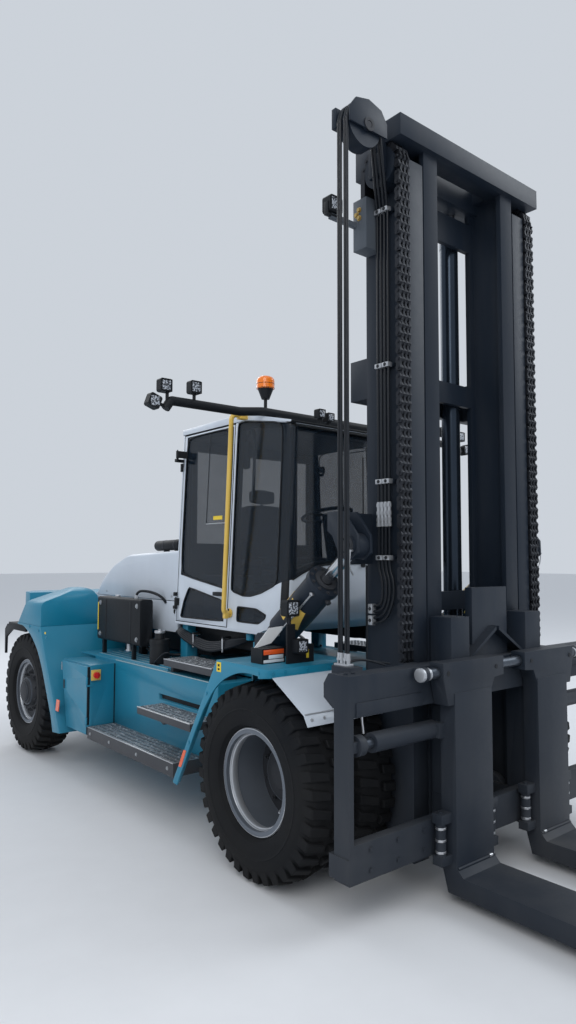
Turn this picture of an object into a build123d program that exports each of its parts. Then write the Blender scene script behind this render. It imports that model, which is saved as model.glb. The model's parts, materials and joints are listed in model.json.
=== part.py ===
from build123d import *
import math
import os

# Heavy counterbalance forklift, forks facing -Y, up +Z, sizes in millimetres.
# Y is measured here from the drive axle; export moves it to the middle of the whole length.

# Wheels and axles
wheelbase = 3614
axle_z = 560
tyre_r = 560
tyre_w = 312
lugs = 24
bead_r = 292
rim_r = 268
hub_bore = 100
drive_outer_x = 1114
drive_inner_x = 759
steer_x = 1114
kingpin_x = 900

# Mast, chains, carriage and forks
fork_tip_y = -3310
tilt_pivot = (-230, 350)
mast_pin = (-457, 1902)
chassis_pin = (300, 1290)
tilt_x = 860
tilt_rod_r = 38
outer_in, outer_out = 468, 591
inner_in, inner_out = 330, 457
mast_front = -640
outer_rear = -290
inner_rear = -350
mast_foot_z = 145
outer_top_z = 4180
beam_z = (4272, 4401)
lift_x = 240
lift_y = -280
lift_barrel_r = 62
lift_rod_r = 45
chain_x = 650
pulley_yz = (-500, 4150)
pulley_r = 120
carriage_y = (-800, -690)
carriage_half = 1245
carriage_top = 1253
fork_face_y = -910
fork_shaft_yz = (-856, 1222)
fork_shaft_r = 30
fork_x = 400
fork_w = 330
fork_thick = 100

# Cab
cab_half, cab_half_top = 772, 704
cab_front, cab_rear = 300, 1664
cab_floor_z, cab_top_z = 1315, 2823
cab_brow_z = 2740
cab_wall = 45
cab_corner_r = 75
roof_z = 2880
glass_t = 8
post_y = (905, 935)
door_y = (945, 1642)
door_z = (1340, 2812)
door_wall = 35
hinge_x, hinge_y = 786, 1627
door_hinge_z = (1455, 2625)
cab_post_y = (570, 1530)
roof_bar_y = 600
lamp_arm_x = 1450

# Body
rear_end_y = 4350
hood_half = 720
hood_y = (1704, 3240)
hood_seam_z = 1480
hood_wall = 25
hood_edge_r = 30
hood_hinge_yz = (3262, 1478)
hood_pin_r = 12
deck_z = 1000
guard_z = 1205
front_guard_out = 1262
fender_out = 1290
tank_out = 990
tank_y = (720, 2640)
side_out = 1230
engine_y = (1800, 2690)
engine_feet_y = (1850, 2560)
engine_foot = 1005
gap = 6

frame_end_y = wheelbase + 336
mid_y = (fork_tip_y + rear_end_y) / 2
nodes = {}

# Outlines of (y, z) points cut through the cab's sides
low_pane = [(820, 1385), (820, 1493), (595, 1487), (487, 1451), (495, 1425), (566, 1385)]
door_line = [(post_y[1], door_z[0] - gap), (door_y[1] + gap, door_z[0] - gap),
             (door_y[1] + gap, cab_top_z + 5), (post_y[1], cab_top_z + 5)]
door_window = [(door_y[0] + 14, 1600), (1606, 1700), (1606, 2800), (door_y[0] + 14, 2800)]
door_low_pane = [(985, 1374), (985, 1521), (1475, 1607), (1541, 1495), (1577, 1383),
                 (1565, 1368)]


def block(x, y, z):
    """A box from three (low, high) pairs."""
    size = [max(p) - min(p) for p in (x, y, z)]
    middle = [(p[0] + p[1]) / 2 for p in (x, y, z)]
    return Pos(*middle) * Box(*size)


def side_prism(points, x):
    """Polygon of (y, z) points drawn out along X."""
    face = Plane.YZ * make_face(Polyline(*points, close=True))
    return Pos(min(x), 0, 0) * extrude(face, max(x) - min(x), dir=(1, 0, 0))


def front_prism(points, y):
    """Polygon of (x, z) points drawn out along Y."""
    face = make_face(Polyline(*[(px, min(y), pz) for px, pz in points], close=True))
    return extrude(face, max(y) - min(y), dir=(0, 1, 0))


def plan_prism(points, z):
    """Polygon of (x, y) points drawn out along Z."""
    face = make_face(Polyline(*[(px, py, min(z)) for px, py in points], close=True))
    return extrude(face, max(z) - min(z), dir=(0, 0, 1))


def eased(points, corners, steps=4):
    """The outline with its numbered corners rounded to the radii given."""
    out = []
    for i, (x, y) in enumerate(points):
        r = corners.get(i)
        if r is None:
            out.append((x, y))
            continue
        back = points[i - 1]
        on = points[(i + 1) % len(points)]
        a = math.atan2(back[1] - y, back[0] - x)
        b = math.atan2(on[1] - y, on[0] - x)
        half = math.remainder(b - a, 2 * math.pi) / 2
        reach = r / abs(math.sin(half))
        cx, cy = x + reach * math.cos(a + half), y + reach * math.sin(a + half)
        run = r / abs(math.tan(half))
        first = math.atan2(y + run * math.sin(a) - cy, x + run * math.cos(a) - cx)
        last = math.atan2(y + run * math.sin(b) - cy, x + run * math.cos(b) - cx)
        turn = math.remainder(last - first, 2 * math.pi)
        for k in range(steps + 1):
            angle = first + turn * k / steps
            out.append((cx + r * math.cos(angle), cy + r * math.sin(angle)))
    return out


def rod(start, end, r):
    """A round bar between two points."""
    a = Vector(*start)
    along = Vector(*end) - a
    plane = Plane(origin=a, z_dir=along)
    return plane * Cylinder(r, along.length, align=(Align.CENTER, Align.CENTER, Align.MIN))


def disc_x(x, y, z, r):
    return rod((min(x), y, z), (max(x), y, z), r)


def ring_x(x, y, z, r, bore):
    return disc_x(x, y, z, r) - disc_x((min(x) - 1, max(x) + 1), y, z, bore)


def turned(line):
    """Polygon of (r, z) points turned about the upright axis."""
    return revolve(make_face(Polyline(*[(r, 0, z) for r, z in line], close=True)), Axis.Z)


def polygon_face(points):
    return make_face(Polyline(*points, close=True)).face()


def bent_tube(points, r, bend):
    """A round tube along straight runs with rounded corners."""
    path = Polyline(*points)
    if len(points) > 2:
        path = FilletPolyline(*points, radius=bend)
    start = path @ 0
    profile = Plane(origin=start, z_dir=path % 0) * Circle(r)
    return sweep(profile, path=path)


def solids_of(shape):
    if isinstance(shape, (list, tuple)):
        return [s for item in shape for s in solids_of(item)]
    return list(shape.solids())


def mirrored(shape):
    return mirror(shape, about=Plane.YZ)


def both(shape):
    """The shape and its mirror image on the other side."""
    return solids_of(shape) + solids_of(mirrored(shape))


def joined(*shapes):
    parts = solids_of(list(shapes))
    body = parts[0]
    return body.fuse(*parts[1:]) if len(parts) > 1 else body


def put(name, *shapes):
    """Files solids under a node name."""
    nodes[name] = solids_of(list(shapes))


def offset_side(name, sign):
    """Left is +X, right is -X."""
    return name + ("_left" if sign > 0 else "_right")


def tyre(x):
    """A tyre of flat facets with lugs round both shoulders, centred at x."""
    half = tyre_w / 2
    pitch = 2 * math.pi / lugs
    bore = bead_r / math.cos(pitch / 2)
    bead, wall, crown, edge = (bore, half - 50), (430, half), (506, half - 6), (tyre_r, half - 84)
    peaks = {"lug": (tyre_r - 3, half - 22), "groove": (528, half - 46)}

    def spot(point, side, angle):
        r, across = point
        return (x + side * across, r * math.sin(angle), -r * math.cos(angle))

    faces = []
    for i in range(lugs):
        a0 = i * pitch
        a1, a2 = a0 + pitch * 0.58, a0 + pitch
        faces.append([spot(bead, s, a) for s, a in ((-1, a0), (1, a0), (1, a2), (-1, a2))])
        for side in (-1, 1):
            faces.append([spot(bead, side, a0), spot(wall, side, a0), spot(wall, side, a2),
                          spot(bead, side, a2)])
            faces.append([spot(wall, side, a0), spot(crown, side, a0), spot(crown, side, a1)])
            faces.append([spot(wall, side, a0), spot(crown, side, a1), spot(wall, side, a2)])
            faces.append([spot(wall, side, a2), spot(crown, side, a1), spot(crown, side, a2)])
            for kind, b, c in (("lug", a0, a1), ("groove", a1, a2)):
                peak = peaks[kind]
                faces.append([spot(crown, side, b), spot(peak, side, b), spot(peak, side, c),
                              spot(crown, side, c)])
                faces.append([spot(peak, side, b), spot(edge, side, b), spot(edge, side, c),
                              spot(peak, side, c)])
            for a in (a1, a2):
                faces.append([spot(crown, side, a), spot(peaks["lug"], side, a),
                              spot(edge, side, a), spot(peaks["groove"], side, a)])
        for b, c in ((a0, a1), (a1, a2)):
            faces.append([spot(edge, -1, b), spot(edge, 1, b), spot(edge, 1, c),
                          spot(edge, -1, c)])
    body = Solid(Shell([polygon_face(f) for f in faces]))
    return body if body.volume > 0 else -body


def drive_wheel(sign):
    outer = drive_outer_x
    inner = drive_inner_x
    half = tyre_w / 2 - 42
    rim = joined(
        ring_x((outer - half, outer + half + 1), 0, 0, bead_r, rim_r),
        ring_x((inner - half, inner + half), 0, 0, bead_r, rim_r),
        ring_x((inner + half, outer - half), 0, 0, rim_r + 14, rim_r),
        disc_x((930, 955), 0, 0, rim_r + 2),
        disc_x((955, 1010), 0, 0, 150),
        ring_x((700, 930), 0, 0, 150, hub_bore + 0.05),
    )
    move = Pos(0, 0, axle_z)
    rubber = tyre(outer)
    tyres = [move * rubber, Pos(inner - outer, 0, axle_z) * rubber]
    rim = move * rim
    if sign < 0:
        rim = mirrored(rim)
        tyres = [mirrored(t) for t in tyres]
    put(offset_side("drive_rims", sign), rim)
    put(offset_side("drive_tyres", sign), tyres)


def drive_axle():
    line = [(-925, 0), (-925, hub_bore), (-640, hub_bore), (-640, 118), (-590, 118),
            (-590, 150), (-400, 150), (-230, 165), (-130, 232), (130, 232), (230, 165),
            (400, 150), (590, 150), (590, 118), (640, 118), (640, hub_bore), (925, hub_bore),
            (925, 0)]
    tube = revolve(make_face(Polyline(*[(x, 0, r) for x, r in line], close=True)), Axis.X)
    pads = [block((s * 340, s * 420), (-140, 140), (60, 200)) for s in (-1, 1)]
    nose = disc_x((-90, 90), 0, 0, 100)
    carrier = Plane(origin=(0, 0, 0), z_dir=(0, 1, 0)) * Cylinder(
        110, 300, align=(Align.CENTER, Align.CENTER, Align.MIN))
    put("drive_axle", Pos(0, 0, axle_z) * joined(tube, *pads, nose, carrier))


def steer_axle():
    beam = block((-780, 780), (wheelbase - 100, wheelbase + 100), (470, 650))
    ends = [Pos(s * kingpin_x, wheelbase, axle_z) * Cylinder(88, 180) for s in (-1, 1)]
    necks = [block((s * 770, s * 880), (wheelbase - 70, wheelbase + 70), (485, 635)) for s in (-1, 1)]
    pivot = block((-150, 150), (wheelbase - 60, wheelbase + 60), (640, 700))
    bores = [Pos(s * kingpin_x, wheelbase, axle_z) * Cylinder(40.05, 400) for s in (-1, 1)]
    put("steer_axle", joined(beam, *ends, *necks, pivot).cut(*bores))


def knuckle(sign):
    x = kingpin_x
    y = wheelbase
    arm_lo = block((x - 75, x + 120), (y - 75, y + 75), (410, 465))
    arm_hi = block((x - 75, x + 120), (y - 75, y + 75), (655, 710))
    plate = block((x + 95, x + 130), (y - 90, y + 90), (410, 710))
    pin = Pos(x, y, axle_z) * Cylinder(40, 330)
    spindle = disc_x((x + 120, x + 300), y, axle_z, 60)
    body = joined(arm_lo, arm_hi, plate, pin, spindle)
    put(offset_side("knuckle", sign), body if sign > 0 else mirrored(body))


def steer_wheel(sign):
    half = tyre_w / 2 - 42
    rim = joined(
        ring_x((steer_x - half, steer_x + half + 1), 0, 0, bead_r, rim_r),
        disc_x((1150, 1175), 0, 0, rim_r + 2),
        disc_x((1060, 1235), 0, 0, 125),
        disc_x((1235, 1262), 0, 0, 92),
    )
    rim = rim - disc_x((1000, 1201), 0, 0, 60.05)
    move = Pos(0, wheelbase, axle_z)
    rim = move * rim
    rubber = move * tyre(steer_x)
    if sign < 0:
        rim = mirrored(rim)
        rubber = mirrored(rubber)
    put(offset_side("steer_rim", sign), rim)
    put(offset_side("steer_tyre", sign), rubber)


def chassis_frame():
    rear = frame_end_y
    rail_side = [
        (-130, 760), (230, 760), (320, 430), (wheelbase - 754, 430), (wheelbase - 564, 700),
        (rear, 700), (rear, deck_z), (-95, deck_z),
    ]
    rails = both(side_prism(rail_side, (340, 420)))
    floor = block((-420, 420), (330, wheelbase - 764), (430, 450))
    bearers = [block((-345, 345), (y, y + 90), (900, engine_foot)) for y in engine_feet_y]
    top = block((-600, 600), (-90, 400), (deck_z, deck_z + 30))
    cab_base = block((-690, 690), (380, cab_rear - 4), (deck_z, deck_z + 30))
    back_top = block((-420, 420), (wheelbase - 534, rear), (960, deck_z))
    cross = block((-340, 340), (wheelbase - 74, wheelbase + 76), (700, 960))
    lug_side = [(-140, 700), (-140, 620), (-250, 560), (-310, 350), (-270, 280), (-190, 280),
                (-120, 400), (330, 430), (330, 700)]
    y, z = tilt_pivot
    lug = side_prism(lug_side, (425, 462)) - disc_x((300, 500), 0, axle_z, 151)
    lug = joined(lug, block((415, 430), (200, 330), (500, 700)), disc_x((462, 588), y, z, 40),
                 block((415, 462), (160, 320), (690, 770)))
    posts = []
    for y0 in cab_post_y:
        post = block((640, 735), (y0, y0 + 100), (deck_z + 20, cab_floor_z - 60))
        rubber = block((650, 725), (y0 + 12, y0 + 88), (cab_floor_z - 61, cab_floor_z))
        posts += both(joined(post, rubber))
    put("chassis_frame", joined(*rails, floor, *bearers, top, cab_base, back_top, cross,
                                *both(lug), *posts))


def side_tanks():
    y0, y1 = tank_y
    tank = block((420, tank_out), (y0, y1), (400, deck_z - 30))
    slot = block((tank_out - 30, tank_out + 5), (y0 + 160, 1510), (770, 813))
    deck = block((420, tank_out), (y0, wheelbase - 674), (deck_z - 30, deck_z - 15))
    ribs = [block((x, x + 18), (1440, y1), (deck_z - 15, deck_z))
            for x in range(640, tank_out - 10, 60)]
    put("side_tanks", both(joined(tank - slot, deck, *ribs)))


def tray(x, y, z):
    """A step with its edges turned down."""
    hollow = block((x[0] + 12, x[1] - 12), (y[0] + 12, y[1] - 12), (z[0] - 5, z[1] - 12))
    return block(x, y, z) - hollow


def steps():
    lower = tray((tank_out, side_out), (885, 2235), (378, 470))
    middle = tray((tank_out, side_out - 30), (730, 1455), (700, 750))
    bracket = side_prism([(1200, 690), (1400, 701), (1250, 640)], (tank_out, tank_out + 110))
    upper = tray((740, tank_out + 10), (778, 1428), (1030, 1080))
    legs = [block((770, 960), (y, y + 30), (deck_z - 15, 1069)) for y in (820, 1360)]
    put("side_steps", both([lower, joined(middle, bracket), joined(upper, *legs)]))


def side_boxes():
    outline = [(2250, 390), (2675, 390), (2800, 955), (2250, 955)]
    body = side_prism(outline, (tank_out, side_out - 22))
    inside = side_prism([(2275, 415), (2640, 415), (2755, 930), (2275, 930)],
                        (tank_out + 25, side_out))
    door_side = [(2262, 402), (2665, 402), (2782, 943), (2262, 943)]
    leaf = side_prism(door_side, (side_out - 22, side_out))
    lock = block((side_out, side_out + 8), (2693, 2722), (713, 789))
    pin_x, pin_y = side_out + 6, 2250
    lugs, sleeves = [], []
    for z in (480, 800):
        lug = block((side_out - 40, pin_x + 8), (pin_y - 10, pin_y + 8), (z - 14, z))
        lugs.append(joined(lug, rod((pin_x, pin_y, z - 5), (pin_x, pin_y, z + 70), 4)))
        arm = block((side_out - 4, pin_x + 4), (pin_y + 7, pin_y + 30), (z + 5, z + 60))
        sleeve = joined(arm, rod((pin_x, pin_y, z + 5), (pin_x, pin_y, z + 60), 9))
        sleeves.append(sleeve - rod((pin_x, pin_y, z), (pin_x, pin_y, z + 80), 4.05))
    switch = joined(block((1128, 1208), (2232, 2250), (836, 918)),
                    rod((1168, 2205, 877), (1168, 2235, 877), 25))
    left = side_prism(outline, (tank_out, side_out))
    put("side_boxes", mirrored(joined(body - inside, switch, *lugs)), left)
    put("cabinet_door", mirrored(joined(leaf, lock, *sleeves)))


def arch_over(table):
    """Points given from the steer axle's middle."""
    return [(wheelbase + dy, z) for dy, z in table]


def rear_fenders():
    leg = arch_over([(-951, 344), (-603, 948), (-464, guard_z)])
    arch = arch_over([(134, 1190), (-18, 1187), (-214, 1122), (-399, 1000), (-529, 830),
                      (-751, 458), (-800, 330)])
    arch = eased(arch, {1: 300, 2: 500, 3: 500, 4: 500}, 2)
    skin = side_prism(leg + arch_over([(134, guard_z)]) + arch, (fender_out - 55, fender_out))
    inner = arch_over([(-951, 344), (-603, 948), (-464, guard_z), (-424, guard_z), (-563, 948),
                       (-911, 344)])
    wall = side_prism(inner, (420, fender_out - 50))
    top = block((420, fender_out - 50), (wheelbase - 454, wheelbase + 86),
                (guard_z - 15, guard_z))
    put("rear_fenders", both(joined(skin, wall, top)))

    cover_side = eased(arch_over([(-459, guard_z), (-459, 1548), (-160, 1548), (-98, 1440),
                                  (134, guard_z)]), {1: 110, 2: 90, 3: 60}, 4)
    low, high = hood_half + 12, fender_out - 5
    cover_front = eased([(low, guard_z), (low, 1538), (low + 160, 1553), (high, 1420),
                         (high, guard_z)], {1: 120, 2: 60, 3: 60}, 4)
    front_y = wheelbase - 459
    cover = side_prism(cover_side, (low, high)) & front_prism(cover_front, (front_y, front_y + 700))
    put("rear_covers", both(cover))

    flap = side_prism(arch_over([(-80, guard_z), (433, 1171), (501, 1117), (490, 877), (466, 877),
                                 (462, 1040), (422, 1062), (286, 1128), (-80, 1128)]),
                      (fender_out - 22, fender_out - 2))
    pad = block((1060, fender_out - 10), (wheelbase + 134, wheelbase + 416), (1166, guard_z - 14))
    put("rear_flaps", both(joined(flap, pad) - skin))


def counterweight():
    face = hood_hinge_yz[0] + 50
    shoulder = wheelbase + 318
    rear = rear_end_y
    side = [(1110, shoulder), (1070, rear - 180), (940, rear)]
    plan = [(-hood_half, face), (hood_half, face), (hood_half, shoulder)] + side
    plan += [(-x, y) for x, y in side[::-1]] + [(-hood_half, shoulder)]
    upper = plan_prism(eased(plan, {4: 90, 5: 90, 6: 90, 7: 90}, 3), (guard_z, 1480))
    low_plan = eased([(-440, frame_end_y), (440, frame_end_y), (440, rear), (-440, rear)],
                     {2: 60, 3: 60}, 3)
    lower = plan_prism(low_plan, (350, guard_z + 5))
    bridge = block((-600, 600), (frame_end_y, rear - 60), (deck_z, guard_z + 5))
    grille = block((-330, 330), (rear - 60, rear + 5), (760, 1160))
    tow = block((-90, 90), (rear - 150, rear + 5), (470, 570))
    pin = Pos(0, rear - 70, 520) * Cylinder(22, 240)
    put("counterweight", joined(joined(upper, lower, bridge) - grille - tow, pin))
    slats = [block((-330, 330), (rear - 41, rear - 15), (z, z + 18)) for z in range(790, 1150, 45)]
    back_plate = block((-330, 330), (rear - 60, rear - 40), (760, 1160))
    put("rear_grille", joined(back_plate, *slats))


def front_guards():
    out = front_guard_out
    top_z = guard_z + 10
    nose_y, bend_y = -129, 332
    line = [(nose_y, guard_z - 50), (nose_y, guard_z - 5), (nose_y + 40, top_z), (bend_y, top_z),
            (835, 372), (782, 363)]
    arch = [(654, 591), (578, 730), (475, 895), (365, 1031), (259, 1110), (122, 1162), (23, 1174),
            (-82, 1168)]
    arch = eased(arch, {2: 400, 3: 400, 4: 400, 5: 400, 6: 400}, 2)
    plan = [(600, nose_y + 30), (727, nose_y), (out - 47, nose_y), (out, nose_y + 30),
            (out, 900), (600, 900)]
    outline = plan_prism(plan, (300, 1300))
    skin = side_prism(line + arch, (out - 12, out)) & outline
    bar = side_prism([(bend_y - 20, top_z), (bend_y, top_z), (835, 372), (816, 366),
                      (bend_y - 20, top_z - 26)], (out - 47, out))
    top = block((600, out), (nose_y, bend_y), (top_z - 14, top_z))
    top = top & outline & side_prism(line, (500, out + 10))
    lip = block((727, out - 47), (nose_y, nose_y + 12), (guard_z - 50, guard_z - 3))
    corner = plan_prism([(out - 60, nose_y), (out - 47, nose_y), (out, nose_y + 30),
                         (out, nose_y + 44), (out - 60, nose_y + 12)],
                        (guard_z - 50, guard_z - 3))
    wall = block((600, tank_out + 6), (bend_y - 14, bend_y), (deck_z + 30, top_z))
    apron = side_prism([(nose_y + 8, 1163), (nose_y - 1, 1157), (-400, 996), (-433, 937),
                        (-427, 934), (-395, 990), (nose_y + 1, 1150), (nose_y + 10, 1156)],
                       (612, 1190))
    put("front_guards", both(joined(skin, bar, top, lip, corner, wall, apron)))


def engine():
    y0, y1 = engine_y
    put("engine_block", block((-330, 330), (y0, y1), (engine_foot, 1700)))


def hood_profile(inset, low):
    """The lid's side outline, its top and back moved in by inset."""
    y0, y1 = hood_y
    line = [(y0 + inset, low), (y0 + inset, 1893 - inset), (y1 - 640, 1861 - inset),
            (y1 - 365 - inset * 0.3, 1768 - inset), (y1 - 205 - inset * 0.6, 1680 - inset),
            (y1 - 105 - inset * 0.8, 1605 - inset), (y1 - inset, low)]
    return line


def hood():
    y0, y1 = hood_y
    pin_y, pin_z = hood_hinge_yz
    low = hood_seam_z + gap
    lid = side_prism(eased(hood_profile(0, low), {2: 500}, 3), (-hood_half, hood_half))
    long = lid.edges().filter_by(
        lambda e: e.center().Z > low + 20 and abs(e.center().X) > hood_half - 1
        and e.center().Y > y0 + 5)
    lid = fillet(long, hood_edge_r)
    t = hood_wall
    lid = lid - side_prism(hood_profile(t, low - 11), (-hood_half + t, hood_half - t))
    ears = []
    for s in (-1, 1):
        ear = joined(block((s * 560, s * 620), (y1 - 14, pin_y), (pin_z + 10, pin_z + 34)),
                     disc_x((s * 560, s * 620), pin_y, pin_z, 24))
        ears.append(ear - disc_x((s * 500, s * 700), pin_y, pin_z, hood_pin_r + 0.05))
    pipe = rod((-640, 1790, 1943), (-640, 2170, 1935), 44) - rod((-640, 2060, 1937),
                                                                (-640, 2180, 1935), 36)
    saddles = [block((-662, -618), (y, y + 26), (1862, 1910)) for y in (1840, 2020)]
    put("hood_lid", joined(lid, *ears, pipe, *saddles))
    wall = (hood_half - t, hood_half)
    cover_y = wheelbase - 464
    skirt = block(wall, (y0, cover_y), (1235, hood_seam_z))
    skirt_mid = block(wall, (cover_y - 1, y1 + 5), (guard_z, hood_seam_z))
    skirt_back = block(wall, (y1, pin_y + 30), (guard_z, hood_seam_z - 20))
    feet = [block((hood_half - 60, hood_half - 5), (y, y + 60), (deck_z, 1240))
            for y in (2300, 2560)]
    lug = block((hood_half - 60, hood_half - 20), (pin_y - 8, pin_y + 28), (1400, pin_z + 20))
    bar = disc_x((-hood_half + 30, hood_half - 30), pin_y, pin_z, hood_pin_r)
    side = joined(skirt, skirt_mid, skirt_back, lug, *feet)
    put("hood_sides", joined(*both(side), bar))


def air_box():
    outline = eased([(-950, 1118), (-835, 1118), (-835, 1494), (-950, 1494)],
                    {0: 22, 1: 22, 2: 22, 3: 22}, 3)
    box = front_prism(outline, (1905, 2690))
    feet = [block((-930, -900), (y, y + 30), (deck_z, 1125)) for y in (2050, 2600)]
    vent = block((-840, -hood_half), (2200, 2500), (1250, 1400))
    can = rod((-860, 1740, deck_z), (-860, 1740, 1190), 78)
    cap = rod((-860, 1740, 1185), (-860, 1740, 1250), 40)
    link = rod((-860, 1800, 1160), (-860, 1910, 1160), 24)
    put("air_box", joined(box, *feet, vent, can, cap, link))


def cab_form(inset):
    """The cab's outer form, every face moved in by inset."""
    y0, y1 = cab_front + inset, cab_rear - inset
    z0, z1 = cab_floor_z + inset, cab_top_z - inset
    slope_z = cab_brow_z - inset
    line = [(y0, 1450), (y0 + 50, 1390 + inset), (y0 + 220, 1340 + inset), (y0 + 275, z0),
            (y1, z0), (y1, z1), (806, z1), (y0, slope_z)]
    side = side_prism(line, (-900, 900))
    low, high = cab_half - inset, cab_half_top - inset
    front = front_prism([(-low, cab_floor_z), (low, cab_floor_z), (high, cab_top_z),
                         (-high, cab_top_z)], (y0 - 1, y1 + 1))
    form = side & front
    corners = form.edges().filter_by(
        lambda e: e.center().Y < y0 + 1 and abs(e.center().X) > 500 and 1700 < e.center().Z < 2600)
    return fillet(corners, cab_corner_r - inset)


def taper(inset):
    """The cab's slanting sides alone, moved in by inset."""
    lean = (cab_half - cab_half_top) / (cab_top_z - cab_floor_z)
    low, high = cab_half + lean * 50 - inset, cab_half_top - lean * 50 - inset
    z0, z1 = cab_floor_z - 50, cab_top_z + 50
    return front_prism([(-low, z0), (low, z0), (high, z1), (-high, z1)],
                       (cab_front - 50, cab_rear + 50))


def right_of(line):
    return side_prism(line, (655, 900))


def on_sides(line):
    """The outline cut through both side walls."""
    return both(right_of(line))


def glazing():
    """The wrapped windscreen's outline on the cab, out to the door posts."""
    post = post_y[0]
    brow = cab_top_z - 5
    line = [(cab_front - 20, 1697), (553, 1593), (670, 1568), (760, 1567), (870, 1590),
            (post, 1608), (post, brow), (806, brow), (cab_front - 20, cab_brow_z - 8)]
    band = side_prism(line, (-900, 900))
    sill = [(-700, 1600), (-690, 1690), (-590, 1743), (-452, 1785), (-260, 1796), (260, 1796),
            (452, 1785), (590, 1743), (690, 1690), (700, 1600)]
    return band - front_prism(sill, (cab_front - 30, cab_front + 60))


def roof_slab():
    y0, y1 = cab_front, cab_rear + 8
    line = [(y0, cab_brow_z), (806, cab_top_z), (y1, cab_top_z), (y1, roof_z - 12), (850, roof_z),
            (600, roof_z - 60), (y0 - 10, cab_brow_z + 14), (y0 - 10, cab_brow_z)]
    slab = side_prism(eased(line, {4: 200}, 3), (-cab_half_top - 6, cab_half_top + 6))
    return slab


def cab_shell():
    wall = cab_form(0) - cab_form(cab_wall)
    screen = glazing()
    post = post_y[0]
    seat = screen - cab_form(glass_t + 4)
    side_hole = [(400, 1680), (553, 1625), (670, 1600), (760, 1600), (post - 22, 1634),
                 (post - 22, cab_top_z - 50), (806, cab_top_z - 50), (400, cab_brow_z - 30)]
    front_hole = [(-590, 1775), (-452, 1812), (-260, 1823), (260, 1823), (452, 1812), (590, 1775),
                  (640, 1760), (640, 2690), (-640, 2690), (-640, 1760)]
    rear = block((-600, 600), (cab_rear - 100, cab_rear + 10), (1950, 2700))
    holes = [seat, front_prism(front_hole, (cab_front - 20, cab_front + 110)), rear]
    for line in (side_hole, low_pane, door_line):
        holes += on_sides(line)
    lugs = []
    for z in door_hinge_z:
        plate = block((700, hinge_x + 5), (door_y[1] + gap + 2, cab_rear - 2), (z - 25, z))
        arm = block((hinge_x - 8, hinge_x + 5), (hinge_y - 5, cab_rear - 2), (z - 25, z))
        pin = rod((hinge_x, hinge_y, z - 5), (hinge_x, hinge_y, z + 70), 5)
        lugs += both(joined(plate - cab_form(0), arm, pin))
    put("cab_shell", joined(wall.cut(*holes), *lugs))
    pane = cab_form(4) - cab_form(4 + glass_t)
    panes = [screen & pane, rear & pane]
    panes += [pane & side for side in on_sides(low_pane)]
    put("cab_glass", panes)


def cab_roof():
    put("cab_roof", roof_slab())


def cab_door(sign):
    pane = cab_form(6) - cab_form(6 + glass_t)
    (y0, y1), (z0, z1) = door_y, door_z
    leaf = right_of([(y0, z0), (y1, z0), (y1, z1), (y0, z1)]) & cab_form(0)
    leaf = leaf.cut(taper(door_wall), right_of(door_window), right_of(door_low_pane))
    handle = block((700, cab_half + 20), (y0 + 30, y0 + 150), (1556, 1584)) - cab_form(1)
    sleeves = []
    for z in door_hinge_z:
        arm = block((cab_half_top - 10, hinge_x + 6), (1560, 1622), (z + 5, z + 60)) - cab_form(1)
        arm = arm & block((600, 900), (1608, 1622), (z, z + 70))
        sleeve = rod((hinge_x, hinge_y, z + 2), (hinge_x, hinge_y, z + 62), 12)
        pin = rod((hinge_x, hinge_y, z - 50), (hinge_x, hinge_y, z + 90), 5.05)
        sleeves.append(joined(arm, sleeve) - pin)
    frame = joined(leaf, handle, *sleeves)
    glass = [pane & right_of(line) for line in (door_window, door_low_pane)]
    if sign < 0:
        frame = mirrored(frame)
        glass = [mirrored(g) for g in glass]
    put(offset_side("door_frame", sign), frame)
    put(offset_side("door_glass", sign), glass)


def cab_inside():
    floor = cab_floor_z + cab_wall
    base = block((-230, 230), (1130, 1560), (floor, 1620))
    cushion = block((-260, 260), (1080, 1560), (1620, 1740))
    back = side_prism(eased([(1440, 1740), (1560, 1740), (1610, 2420), (1500, 2420)],
                            {2: 40, 3: 40}, 3), (-240, 240))
    arms = [block((s * 265, s * 360), (1060, 1480), (1740, 1850)) for s in (-1, 1)]
    side = [block((s * 255, s * 275), (1200, 1400), (1640, 1850)) for s in (-1, 1)]
    put("cab_seat", joined(base, cushion, back, *arms, *side))
    column = rod((0, 592, 1500), (0, 700, 2100), 45)
    dash = block((-420, 420), (420, 590), (floor, 1640)) & cab_form(cab_wall)
    hub = rod((0, 700, 2098), (0, 716, 2163), 40)
    tilt = Plane(origin=(0, 716, 2163), z_dir=(0, 0.24, 0.97))
    ring = [(190 + 14 * math.cos(a), 14 * math.sin(a)) for a in
            [math.pi * (2 * k + 1) / 6 for k in range(6)]]
    wheel = revolve(make_face(Polyline(*[(r, 0, h) for r, h in ring], close=True)), Axis.Z)
    spokes = [tilt * Rot(0, 0, a) * Pos(95, 0, 0) * Box(190, 26, 12) for a in (90, 210, 330)]
    put("cab_controls", joined(dash, column, hub, tilt * wheel, *spokes))


def handrails():
    reach = cab_half + 68
    top = cab_top_z + 26
    rail = bent_tube([(cab_half_top, 800, top), (reach, 800, top), (reach, 880, 1440),
                      (cab_half - 20, 905, 1440)], 17, 40)
    put("handrails", both(rail - cab_form(0) - roof_slab()))


def lamp_box(centre, size=84, depth=56):
    """A square work lamp that faces the forks."""
    x, y, z = centre
    h = size / 2
    outline = eased([(-h, -h), (h, -h), (h, h), (-h, h)], {k: size / 7 for k in range(4)}, 2)
    return Pos(x, 0, z) * front_prism(outline, (y - depth / 2, y + depth / 2))


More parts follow.
